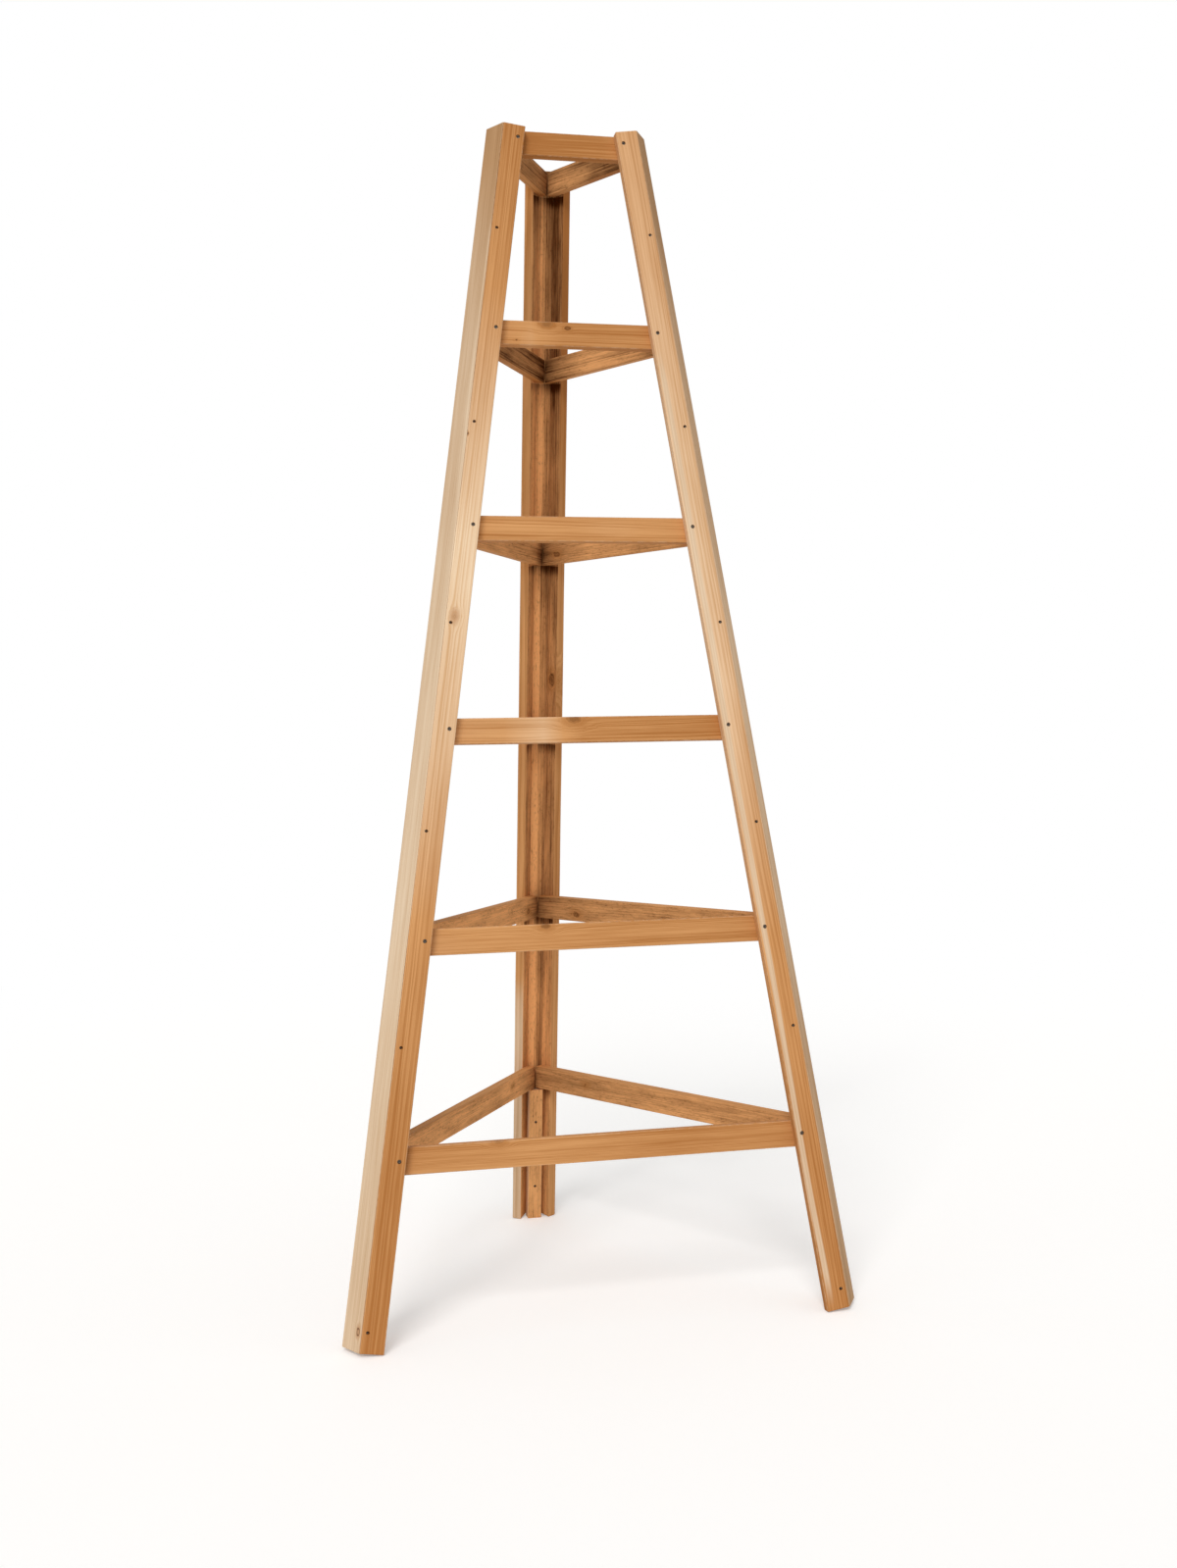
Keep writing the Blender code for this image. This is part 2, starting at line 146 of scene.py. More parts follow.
class Tower:
    """Slopes and places that follow from the sizes.

    lean is the slope of a spine and face_lean that of a face, whose tangent is less by the
    cosine of half the corner. splay is the angle between a spine and its flange, from the
    product of their outward directions. mitre is how far the mitre between them runs in over
    the thickness. rise is the height of a spine's outer edge when the foot stands on the inner
    corners of its flanges. axis_y puts the tower's box in the middle.
    """

    def __init__(self, sizes):
        self.sizes = sizes
        ladder_top = sizes.clearance + (sizes.rungs - 1) * sizes.pitch + sizes.rung_height
        self.top = ladder_top + sizes.proud
        self.lean = math.atan((sizes.foot_radius - sizes.top_radius) / self.top)
        self.face_lean = math.atan(math.tan(self.lean) * math.cos(HALF_CORNER))
        self.splay = math.acos(
            math.cos(self.face_lean) * math.cos(HALF_CORNER) * math.cos(self.lean)
            + math.sin(self.face_lean) * math.sin(self.lean)
        )
        self.mitre = sizes.thickness * math.tan(self.splay / 2)
        self.mitre_gap = sizes.gap / 2 / math.cos(self.splay / 2)
        self.rise = math.sin(self.lean) * (sizes.flange_width * math.sin(self.splay)
                                           + sizes.thickness * math.cos(self.splay))
        self.leg_length = self.leg_z(self.top, 0.0)
        corner = self.rise - (math.sin(self.splay) * math.sin(self.lean)
                              * (sizes.flange_width - sizes.easing))
        self.axis_y = (self.face_distance(corner) - self.radius_at(self.rise)) / 2

    def radius_at(self, height):
        """Distance from the axis to a spine's outer face."""
        return self.sizes.foot_radius - height * math.tan(self.lean)

    def face_distance(self, height):
        """Distance from the axis to a face of the tower."""
        return (self.radius_at(height) * math.cos(HALF_CORNER)
                + self.sizes.spine_width / 2 * math.sin(HALF_CORNER))

    def leg_z(self, height, x):
        """Distance up the leg of a point at a height over the ground."""
        return (height - self.rise - x * math.sin(self.lean)) / math.cos(self.lean)

    def rung_height(self, level):
        """Height of a rung's middle."""
        return self.sizes.clearance + self.sizes.rung_height / 2 + level * self.sizes.pitch

    def rung_distance(self, level):
        """Distance from the axis to a rung's outer face."""
        depth = (self.sizes.thickness + self.sizes.gap) / math.cos(self.face_lean)
        return self.face_distance(self.rung_height(level)) - depth

    def rung_reach(self, level, rise):
        """Half of a rung's length at a rise over its middle, short of its neighbour and spine."""
        height = self.rung_height(level) + rise * math.cos(self.face_lean)
        outer = self.rung_distance(level) - rise * math.sin(self.face_lean)
        inner = outer - self.sizes.thickness * math.cos(self.face_lean)
        depth = (self.sizes.thickness + self.sizes.gap) / math.cos(self.lean)
        back = self.radius_at(height) - depth
        to_neighbour = (inner * math.tan(HALF_CORNER)
                        - self.sizes.rung_gap / 2 / math.cos(HALF_CORNER))
        to_spine = (back - outer * math.cos(HALF_CORNER)) / math.sin(HALF_CORNER)
        return min(to_neighbour, to_spine)

    def rung_spots(self):
        """Place of the lowest rung's underside along a leg, and the rungs' pitch along it."""
        return (self.leg_z(self.sizes.clearance, -self.sizes.thickness),
                self.sizes.pitch / math.cos(self.lean))

    def batten_top(self):
        """Height of a batten's level top."""
        sunk = self.sizes.thickness * math.sin(self.face_lean)
        return self.sizes.clearance - sunk - self.sizes.batten_gap

    def leg_place(self, bearing):
        """Matrix of a leg: X out of its spine, Y across it, Z up the leg."""
        return (Matrix.Translation((0.0, self.axis_y, 0.0)) @ Matrix.Rotation(bearing, 4, "Z")
                @ Matrix.Translation((self.radius_at(self.rise), 0.0, self.rise))
                @ Matrix.Rotation(-self.lean, 4, "Y"))

    def spine_place(self, bearing):
        """Matrix of a spine's board coordinates."""
        turn = Matrix(((0, 0, 1), (0, -1, 0), (1, 0, 0))).to_4x4()
        return self.leg_place(bearing) @ turn

    def flange_place(self, bearing, side):
        """Matrix of a flange's board coordinates, with Y = 0 at the arris."""
        sin, cos = math.sin(self.splay), math.cos(self.splay)
        turn = Matrix(((0, -sin, cos), (0, side * cos, side * sin), (1, 0, 0))).to_4x4()
        turn.translation = (0.0, side * self.sizes.spine_width / 2, 0.0)
        return self.leg_place(bearing) @ turn

    def rung_place(self, bearing, level):
        """Matrix of a rung's board coordinates, with X = 0 at its middle."""
        turn = Matrix(((0, 0, 1), (1, 0, 0), (0, 1, 0))).to_4x4()
        return (Matrix.Translation((0.0, self.axis_y, 0.0)) @ Matrix.Rotation(bearing, 4, "Z")
                @ Matrix.Translation((self.rung_distance(level), 0.0, self.rung_height(level)))
                @ Matrix.Rotation(-self.face_lean, 4, "Y") @ turn)

    def rung_screws(self, screws):
        """Screws into the rungs, in the flange's board coordinates.

        A row of screws is their entries, the way in, how far they reach and their heads.
        """
        slope = math.atan(math.tan(self.lean) * math.cos(self.face_lean) * math.sin(HALF_CORNER))
        reach = 2 * self.sizes.thickness + self.sizes.gap - screws.stop
        entries = []
        for level in range(self.sizes.rungs):
            middle = self.rung_height(level)
            arris = (self.radius_at(middle) * math.sin(HALF_CORNER)
                     - self.sizes.spine_width / 2 * math.cos(HALF_CORNER))
            short = self.rung_reach(level, self.sizes.rung_height / 2)
            end = (arris - short) * math.cos(slope)
            run = (end + self.sizes.flange_width) / 2
            height = (middle + screws.rung_rise
                      + self.sizes.thickness * math.sin(self.face_lean))
            entries.append((self.leg_z(height, -run * math.sin(self.splay)), run, 0.0))
        return entries, Vector((0.0, 0.0, -1.0)), reach, screws.head

    def seam_screws(self, screws):
        """Screws along the spine, in the flange's board coordinates."""
        run = self.sizes.thickness / 2 / math.sin(self.splay)
        across = self.sizes.spine_width / 2 + run * math.cos(self.splay)
        reach = across - (screws.shank / 2 + screws.clearance + screws.wall + screws.run_out)
        first = self.rung_height(0) + self.sizes.pitch / 2 + screws.seam_rise
        heights = [screws.foot_seam]
        heights += [first + k * self.sizes.pitch for k in range(self.sizes.rungs - 1)]
        entries = [(self.leg_z(height, -run * math.sin(self.splay)), run, 0.0)
                   for height in heights]
        inward = Vector((0.0, -math.cos(self.splay), -math.sin(self.splay)))
        return entries, inward, reach, screws.small_head

    def batten_screws(self, screws):
        """Screws through a batten into its spine, in the spine's board coordinates."""
        depth = self.sizes.thickness + self.sizes.gap + self.sizes.batten_depth
        entries = [(self.leg_z(share * self.batten_top(), -depth), 0.0, -depth)
                   for share in BATTEN_SCREW_SHARES]
        return entries, Vector((0.0, 0.0, 1.0)), depth - screws.stop, screws.small_head


def face_beside(bearing, side):
    """Name of the face on one side of the leg at a bearing."""
    normal = (bearing + side * HALF_CORNER) % (2 * math.pi)
    return min(FACES, key=lambda name: abs(FACES[name] - normal))


# Surfaces

# Rows of points round a board and along it, and how near its end the evenly spaced ones come
ARC_STEPS = 4
SIDE_SHARES = (0.07, 0.3, 0.55, 0.8, 0.93)
ROW_SPACING = 0.012
FEWEST_ROWS = 4
END_MARGIN = 0.004

# Rows at a sawn end, as distance from it and how far the section is drawn in there
END_ROWS = ((0.0, 0.0006), (0.00015, 0.00025), (0.0005, 0.00005), (0.0014, 0.0))

# Unevenness of the faces and of the eased edges, and the rounding of edges left crisp
WAVES = 5
LONG_WAVES = (0.1, 0.6)
CROSS_WAVES = (0.025, 0.08)
RIPPLE = 0.0001
RIPPLE_SPAN = 0.12
EASING_WAVER = 0.4
CRISP_EASING = 0.00012

# What counts as an edge, as a cut or inner face and as the wall of a hole
EDGE_REACH = 0.004
CUT_SLOPE = 0.6
HOLE_MARGIN = 0.0005
HOLE_DEPTH = 0.0002
HOLE_SIDES = 24
SMOOTH_ANGLE = math.radians(40.0)


def ripple(rng, along, across, amplitude):
    """Gentle unevenness of planed wood.

    The sum of a few sine waves with random wavelengths of 0.1 to 0.6 m along the board and
    25 to 80 mm across it, which never exceeds the amplitude.
    """
    total = np.zeros(np.broadcast(along, across).shape)
    for _ in range(WAVES):
        stride = 2 * math.pi / rng.uniform(*LONG_WAVES)
        cross = 2 * math.pi / rng.uniform(*CROSS_WAVES)
        total = total + np.sin(stride * along + cross * across + rng.uniform(0.0, 2 * math.pi))
    return amplitude * total / WAVES


def eased_rows(corners, easing):
    """Outline of a section with rounded corners, one for each row of easings.

    Each corner becomes an arc that leaves its two sides at the easing's distance from the
    corner. Its points turn evenly from one side to the other about the arc's centre, and
    each side between two arcs has points at fixed shares of its length.
    """
    back = np.roll(corners, 1, axis=0) - corners
    ahead = np.roll(corners, -1, axis=0) - corners
    back /= np.linalg.norm(back, axis=1, keepdims=True)
    ahead /= np.linalg.norm(ahead, axis=1, keepdims=True)
    half = np.arccos(np.clip((back * ahead).sum(axis=1), -1.0, 1.0)) / 2
    middle = (back + ahead) / np.linalg.norm(back + ahead, axis=1, keepdims=True)
    radius = easing * np.tan(half)
    centre = corners + middle * (radius / np.sin(half))[..., None]
    start = corners + back * easing[..., None] - centre
    end = corners + ahead * easing[..., None] - centre
    sweep = math.pi - 2 * half
    turn = np.linspace(0.0, 1.0, ARC_STEPS + 1)
    near = np.sin((1 - turn) * sweep[:, None]) / np.sin(sweep)[:, None]
    far = np.sin(turn * sweep[:, None]) / np.sin(sweep)[:, None]
    arcs = centre[..., None, :] + start[..., None, :] * near[..., None]
    arcs = arcs + end[..., None, :] * far[..., None]
    leave = arcs[..., -1:, :]
    reach = np.roll(arcs[..., :1, :], -1, axis=1) - leave
    sides = leave + reach * np.array(SIDE_SHARES)[:, None]
    rows = np.concatenate([arcs, sides], axis=2)
    return rows.reshape(len(easing), -1, 2)


def outward(rows):
    """Outward unit normals of closed outlines that run anticlockwise, by central differences."""
    step = np.roll(rows, -1, axis=1) - np.roll(rows, 1, axis=1)
    normal = np.stack([step[..., 1], -step[..., 0]], axis=-1)
    return normal / np.maximum(np.linalg.norm(normal, axis=-1, keepdims=True), 1e-9)


def board_points(corners, eased, low, high, easing, rng, chips=()):
    """Grid of points of a board, rows along X and columns anticlockwise round its section.

    Each row is the section with corners rounded by the easing, which wavers along the board
    as edges rubbed by hands do and swells in a chip: (corner, place, spread, depth). The faces
    carry a ripple of a tenth of a millimetre, and the rows next to the ends are drawn in by
    up to 0.6 mm, which rounds the saw cut. X runs from low to high, which are functions of Y
    and Z, because an end may be cut on a slant.
    """
    corners = np.array(corners, float)
    length = high(0.0, 0.0) - low(0.0, 0.0)
    inner = np.linspace(END_MARGIN, length - END_MARGIN,
                        max(FEWEST_ROWS, round(length / ROW_SPACING)))
    ends = np.array(END_ROWS)
    travel = np.concatenate([ends[:, 0], inner, length - ends[::-1, 0]])
    inset = np.concatenate([ends[:, 1], np.zeros(len(inner)), ends[::-1, 1]])
    wear = np.full((len(travel), len(corners)), CRISP_EASING)
    for k in eased:
        wear[:, k] = easing * (1.0 + ripple(rng, travel, 0.0, EASING_WAVER))
    for corner, place, spread, depth in chips:
        wear[:, corner] += depth * np.exp(-((travel - place) / spread) ** 2)
    rows = eased_rows(corners, wear)
    around = np.linspace(0.0, RIPPLE_SPAN, rows.shape[1], endpoint=False)
    on_side = np.tile(np.repeat((0.0, 1.0), (ARC_STEPS + 1, len(SIDE_SHARES))), len(corners))
    swell = (ripple(rng, travel[:, None], around[None, :], RIPPLE) - RIPPLE / 2) * on_side
    rows = rows + outward(rows) * swell[..., None]
    middle = (corners.max(axis=0) + corners.min(axis=0)) / 2
    half_size = (corners.max(axis=0) - corners.min(axis=0)) / 2
    rows = middle + (rows - middle) * (1 - inset[:, None, None] / half_size)
    share = (travel / length)[:, None]
    y, z = rows[..., 0], rows[..., 1]
    x = low(y, z) * (1 - share) + high(y, z) * share
    return np.concatenate([x[..., None], rows], axis=-1)


def square_cut(x):
    """End of a board cut square at x, as a function of Y and Z."""
    return lambda y, z: np.full_like(y, x)


def grid_faces(rows, columns):
    """Quads of a grid that closes round its columns."""
    index = np.arange(rows * columns).reshape(rows, columns)
    turned = np.roll(index, -1, axis=1)
    quads = np.stack([index[:-1], turned[:-1], turned[1:], index[1:]], axis=-1)
    return quads.reshape(-1, 4)


def placed(points, matrix):
    """Points moved by a matrix."""
    matrix = np.array(matrix)
    return points @ matrix[:3, :3].T + matrix[:3, 3]


def mesh_object(name, points, faces, matrix):
    """Object at the origin whose mesh is already in place, with its faces pointing out."""
    if np.linalg.det(np.array(matrix)[:3, :3]) < 0:
        faces = [face[::-1] for face in faces]
    mesh = bpy.data.meshes.new(name)
    mesh.from_pydata(placed(points, matrix), [], faces)
    mesh.validate()
    obj = bpy.data.objects.new(name, mesh)
    bpy.context.scene.collection.objects.link(obj)
    return obj


def board_object(name, grid, matrix):
    """Object of a board's grid, closed by a face at each end."""
    rows, columns = grid.shape[:2]
    faces = grid_faces(rows, columns).tolist()
    faces.append(list(range(columns))[::-1])
    faces.append(list(range((rows - 1) * columns, rows * columns)))
    return mesh_object(name, grid.reshape(-1, 3), faces, matrix)


def turned_object(name, profile, entries, inward, matrix, sides, shape=None):
    """Turned solids along a direction, one at each entry, as one mesh.

    The profile is (depth, radius) from the outer end to the inner one, carried round its
    axis. shape may change the radius and the depth by depth and angle, as a thread and a
    driver recess do. The first and the last ring close in a face.
    """
    angle = np.linspace(0.0, 2 * math.pi, sides, endpoint=False)
    depth, radius = (column[:, None] for column in np.array(profile).T)
    depth = depth + np.zeros_like(angle)
    radius = radius + np.zeros_like(angle)
    if shape:
        depth, radius = shape(depth, radius, angle)
    turn = np.array(inward.to_track_quat("Z", "Y").to_matrix())
    ring = np.stack([radius * np.cos(angle), radius * np.sin(angle), depth], axis=-1) @ turn.T
    rows = len(profile)
    quads = grid_faces(rows, sides)
    points, faces = [], []
    for number, entry in enumerate(entries):
        start = number * rows * sides
        points.append(ring.reshape(-1, 3) + np.array(entry))
        faces += (quads + start).tolist()
        faces.append(list(range(start, start + sides))[::-1])
        faces.append(list(range(start + (rows - 1) * sides, start + rows * sides)))
    return mesh_object(name, np.concatenate(points), faces, matrix)


def vectors(items, name):
    """A vector of each vertex or face, as the rows of an array."""
    values = np.empty(len(items) * 3, np.float32)
    items.foreach_get(name, values)
    return values.reshape(-1, 3).astype(float)


def keep_board_coordinates(obj, matrix, corners, holes):
    """Attributes of a finished board, worked out from its points in board coordinates.

    "board" holds the coordinates in metres. "edge" falls from 1 at the section's corners to 0
    at 4 mm from them. "cut" is 1 on faces across the grain and "inner" on faces that look into
    the tower, both from the faces' normals. "hole" is 1 on faces whose middles lie inside the
    board's section and near the axis of one of the holes.
    """
    mesh = obj.data
    section = np.array(corners)
    inverse = np.linalg.inv(np.array(matrix))
    local = placed(vectors(mesh.vertices, "co"), inverse)
    board = mesh.attributes.new("board", "FLOAT_VECTOR", "POINT")
    board.data.foreach_set("vector", local.astype(np.float32).ravel())

    near = np.linalg.norm(local[:, None, 1:] - section, axis=2).min(axis=1)
    turned = vectors(mesh.polygons, "normal") @ inverse[:3, :3].T

    middles = vectors(mesh.polygons, "center")
    side = np.roll(section, -1, axis=0) - section
    side /= np.linalg.norm(side, axis=1, keepdims=True)
    off = placed(middles, inverse)[:, None, 1:] - section
    inside = (side[:, 0] * off[..., 1] - side[:, 1] * off[..., 0]).min(axis=1) > HOLE_DEPTH
    hole = np.zeros(len(middles))
    for place, (entries, inward, _, head) in holes:
        axis = np.array(place.to_3x3() @ inward)
        for entry in entries:
            off = middles - np.array(place @ Vector(entry))
            away = np.linalg.norm(off - (off @ axis)[:, None] * axis, axis=1)
            hole[inside & (away < head / 2 + HOLE_MARGIN)] = 1.0

    for name, domain, values in (("edge", "POINT", np.clip(1.0 - near / EDGE_REACH, 0.0, 1.0)),
                                 ("cut", "FACE", np.abs(turned[:, 0]) > CUT_SLOPE),
                                 ("inner", "FACE", turned[:, 2] < -CUT_SLOPE),
                                 ("hole", "FACE", hole)):
        attribute = mesh.attributes.new(name, "FLOAT", domain)
        attribute.data.foreach_set("value", values.astype(np.float32))


def drill(obj, cutters):
    """Cut holes into a board for good."""
    for cutter in cutters:
        modifier = obj.modifiers.new(cutter.name, "BOOLEAN")
        modifier.operation = "DIFFERENCE"
        modifier.solver = "EXACT"
        modifier.object = cutter
    graph = bpy.context.evaluated_depsgraph_get()
    drilled = bpy.data.meshes.new_from_object(obj.evaluated_get(graph), depsgraph=graph)
    obj.modifiers.clear()
    obj.data = drilled


def smooth(obj):
    """Smooth shading over the eased edges, and sharp arrises."""
    obj.data.shade_smooth()
    obj.data.set_sharp_from_angle(angle=SMOOTH_ANGLE)


def finish_piece(obj, material, slot, *nodes):
    """Material and body of a finished piece, and the solids that it stands for, hidden. The slot
    is not used.
    """
    obj.data.materials.clear()
    obj.data.materials.append(material)
    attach(obj, "root")
    if nodes:
        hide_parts(*nodes)


# How far the cutters stand out of the wood, and how much wider the holes are at its face
CUTTER_OVERSHOOT = 0.006
HOLE_FLARE = 0.0001


def hole_profile(screws, reach, head_size):
    """Recess, countersink and bore of a screw's hole, open above the wood."""
    head = head_size / 2 + screws.clearance
    shank = screws.shank / 2 + screws.clearance
    rim = screws.recess + screws.rim + screws.clearance
    neck = screws.recess + screws.head_height + screws.clearance
    return [(-CUTTER_OVERSHOOT, head + HOLE_FLARE), (0.0, head + HOLE_FLARE), (rim, head),
            (neck, shank), (reach + screws.run_out, shank)]


# Rings of a screw, the radius that its poles close at and its shares of the shank's radius
SCREW_SIDES = 20
HEAD_RINGS = 6
THREAD_ROWS = 26
TIP_RINGS = 4
POLE = 0.00003
RIM_EDGE = 0.0002
NECK_SHARE = 0.8
THREAD_CORE = 0.72
PLAIN_NECK = 0.0005

# Arms of the cross recess, and how far its walls and its arms' ends slope
CROSS_WIDTH = 0.0011
CROSS_REACH = 0.0017
CROSS_DEPTH = 0.0013
CROSS_WALL = 0.0002
CROSS_END = 0.0005


def screw_profile(screws, reach, head_size):
    """Head from its middle to its rim, countersink, threaded shank and point."""
    head, shank = head_size / 2, screws.shank / 2
    top = screws.recess
    neck = top + screws.head_height
    profile = [(top, max(POLE, head * k / HEAD_RINGS)) for k in range(HEAD_RINGS)]
    profile += [(top, head - RIM_EDGE), (top + RIM_EDGE, head), (top + screws.rim, head)]
    profile.append((neck, shank * NECK_SHARE))
    start = neck + PLAIN_NECK
    profile += [(start + (reach - screws.tip - start) * k / THREAD_ROWS, shank)
                for k in range(THREAD_ROWS + 1)]
    profile += [(reach - screws.tip * (1 - k / TIP_RINGS), shank * (1 - k / TIP_RINGS))
                for k in range(1, TIP_RINGS)]
    profile.append((reach, POLE))
    return profile


def screw_shape(screws, reach):
    """Function that presses the cross recess and winds the thread.

    On the head the depth grows where a point is nearer than half an arm's width to one of
    two crossed lines, and less towards the arms' ends. On the shank the radius falls to the
    core and rises to the crest once for each turn of the thread, as a triangle wave of the
    depth over the pitch less the share of a turn.
    """
    neck = screws.recess + screws.head_height

    def shape(depth, radius, angle):
        """Depth and radius of the screw's points, pressed and threaded."""
        arm = radius * np.minimum(np.abs(np.sin(angle)), np.abs(np.cos(angle)))
        inside = np.clip((CROSS_WIDTH / 2 - arm) / CROSS_WALL, 0.0, 1.0)
        inside = inside * np.clip((CROSS_REACH - radius) / CROSS_END, 0.0, 1.0)
        pressed = depth + np.where(depth <= screws.recess, CROSS_DEPTH * inside, 0.0)
        turn = depth / screws.thread - angle / (2 * math.pi)
        crest = np.abs(2 * (turn - np.floor(turn)) - 1)
        threaded = (depth > neck + PLAIN_NECK / 2) & (depth < reach)
        cut = np.where(threaded, THREAD_CORE + (1 - THREAD_CORE) * crest, 1.0)
        return pressed, radius * cut

    return shape


# Materials


def linear(colour):
    """Linear RGBA of a colour's sRGB channels."""
    return [c / 12.92 if c <= 0.04045 else ((c + 0.055) / 1.055) ** 2.4 for c in colour] + [1.0]


def add(tree, kind, *values, out=None, named=None, **settings):
    """Add a node with its settings and links, and return one of its outputs.

    The values, numbers or other nodes' outputs, go to the inputs in use in their order, and
    named ones to the inputs of those names. The first output in use comes back, unless out
    names another.
    """
    node = tree.nodes.new("ShaderNode" + kind)
    for name, value in settings.items():
        setattr(node, name, value)
    sockets = [socket for socket in node.inputs if socket.enabled]
    pairs = list(zip(sockets, values))
    pairs += [(node.inputs[name], value) for name, value in (named or {}).items()]
    for socket, value in pairs:
        if isinstance(value, bpy.types.NodeSocket):
            tree.links.new(value, socket)
        else:
            socket.default_value = value
    if out:
        return node.outputs[out]
    return next((socket for socket in node.outputs if socket.enabled), None)


def new_material(name):
    """Material with an empty tree, and the function that adds nodes to it."""
    material = bpy.data.materials.new(name)
    material.use_nodes = True
    material.node_tree.nodes.clear()
    return material, partial(add, material.node_tree)


# How a board of cedar looks. Its planed wood changes from the colours first to the colours
# second, and its sawn wood from light to dark, by change: (place along the board, share) at a
# few places; besides the wood's own tones the changes carry painted shade. Shares go up to
# MOST_CHANGE, and darken the planed wood from DARKENS_FROM on. streak is the (middle, half
# width, low end, high end) of a pale streak. lines is how strongly the grain shows on planed
# wood, and bands on sawn wood. tilt is how much darker the sawn wood gets across a metre.
# damp is where painted shade darkens the sawn wood just below the rungs, as the
# first place and the pitch. knots are (along, across, radius, heart, outline) with the
# strengths of their dark hearts and outlines. pith is the place of the tree's heart, across
# and out of the board. ring is the width of a growth ring.
CedarLook = namedtuple("CedarLook", "first second change streak lines bands tilt damp knots pith"
                                    " ring seed")
MOST_CHANGE = 1.5
DARKENS_FROM = 0.7
DARKENING = 1.3

# Patterns in the wood, as the share that lengths along the grain are squeezed to, the patches
# in a metre across it, the detail and the roughness. Fibres and torn flecks are really finer,
# and are drawn 1.5 and 2.4 mm wide to show. Bands are 17 mm wide, blotches 13 mm and clouds of
# tone 77 mm. The rings drift by up to half of a distance, in patches of 71 mm and 11 mm.
FIBRE = (0.02, 650.0, 3.0, 0.6)
TORN = (0.3, 420.0, 4.0, 0.65)
BAND = (0.04, 60.0, 2.0)
BLOTCH = (0.2, 75.0, 3.0, 0.6)
CLOUD = (0.3, 13.0, 1.0)
DRIFTS = (((0.06, 14.0, 1.0), 24.0 * MM), ((0.06, 90.0, 2.0), 3.0 * MM))

# Years: how quickly good and bad ones follow and how many rings they shift, where in a year
# the late wood begins and is full, where it ends, and how dark it is in the weakest year
YEARS_PACE = 0.35
YEARS_SHIFT = 3.0
LATE_WOOD = (0.3, 0.88)
YEAR_END = (1.0, 0.93)
WEAKEST_YEAR = 0.25

# Knots: their stretch along the grain and into the wood, the width of their own rings, and
# the patches and detail of their uneven outlines, 6 mm wide, and of their hearts, 2 mm wide
KNOT_OVAL = (0.6, 1.0, 0.3)
KNOT_RING = 2.2 * MM
KNOT_OUTLINE = (160.0, 2.0)
KNOT_HEART = 500.0

# How far a streak's sides and its ends fade, and how far its middle wanders
STREAK_BLUR = 1.2 * MM
STREAK_FADE = 60.0 * MM
STREAK_WANDER = 8.0 * MM

# Distance between saw marks, and how far they run askew
SAW_PITCH = 2.6 * MM
SAW_SKEW = 0.25

# Edges: the patches and detail of their pale fuzz and painted highlight, 8 mm wide, and where
# the ones at a board's back begin, out of its face
EDGE_FUZZ_AND_HIGHLIGHT = (130.0, 3.0)
BACK_EDGES = (-15.0 * MM, -13.0 * MM)

# Darkness that the lines of the grain come to on average, the height of the relief and the
# faint gloss of dry wood
MEAN_TONE = 0.36
RELIEF = 0.12 * MM
DRY_GLOSS = 0.03

SOFTLY = {"interpolation_type": "SMOOTHSTEP"}
KnotFields = namedtuple("KnotFields", "bent heart bark halo years")


def weighted_sum(node, total, *parts):
    """A total with parts added to it, each times its weight."""
    for part, weight in parts:
        total = node("Math", part, weight, total, operation="MULTIPLY_ADD")
    return total


def drawn_out(node, wood, squeeze, *settings, out=None):
    """A pattern drawn out along the grain, by squeezing the places to a share there."""
    place = node("VectorMath", wood, (squeeze, 1.0, 1.0), operation="MULTIPLY")
    return node("TexNoise", place, *settings, out=out)


def two_tone(node, colours, wood, tone):
    """Colour of a kind of wood, from its light one to its dark one by the tone."""
    light, dark = (linear(getattr(colours, f"{wood}_{shade}")) for shade in ("light", "dark"))
    return node("Mix", tone, light, dark, data_type="RGBA")


def knot_fields(node, look, board, wood):
    """Board coordinates bent round the knots, and where the knots' parts show.

    A knot's reach is the distance to its middle, shorter along the grain and a little uneven.
    Within 4.5 radii the coordinates are pulled towards its middle, so that the rings bend
    round it. The parts are its heart, the thin bark round that, the halo round both, out to
    2.6 radii, and its own years.
    """
    bent = board
    heart = bark = halo = years = 0.0
    for place, side, radius, eye, outline in look.knots:
        off = node("VectorMath", board, (place, side, 0.0), operation="SUBTRACT")
        oval = node("VectorMath", off, KNOT_OVAL, operation="MULTIPLY")
        reach = node("VectorMath", oval, operation="LENGTH")
        uneven = node("TexNoise", wood, *KNOT_OUTLINE)
        reach = node("Math", uneven, radius * 0.9, reach, operation="MULTIPLY_ADD")
        reach = node("Math", reach, radius * 0.45, operation="SUBTRACT")
        swell = node("MapRange", reach, 4.5 * radius, 0.5 * radius, 0.0, 0.85, **SOFTLY)
        pull = node("VectorMath", off, (0.0, 1.0, 0.0), operation="MULTIPLY")
        pull = node("VectorMath", pull, swell, operation="SCALE")
        bent = node("VectorMath", bent, pull, operation="SUBTRACT")
        core = node("MapRange", reach, 0.95 * radius, 0.6 * radius, 0.0, eye, **SOFTLY)
        rim = node("Math", reach, 0.95 * radius, operation="SUBTRACT")
        rim = node("Math", rim, operation="ABSOLUTE")
        rim = node("MapRange", rim, 0.9 * MM, 0.2 * MM, 0.0, outline, **SOFTLY)
        ring = node("MapRange", reach, 2.6 * radius, 0.9 * radius, **SOFTLY)
        own_years = node("Math", reach, KNOT_RING, operation="DIVIDE")
        years = node("Mix", ring, years, own_years)
        heart = node("Math", heart, core, operation="MAXIMUM")
        bark = node("Math", bark, rim, operation="MAXIMUM")
        halo = node("Math", halo, ring, operation="MAXIMUM")
    return KnotFields(bent, heart, bark, halo, years)


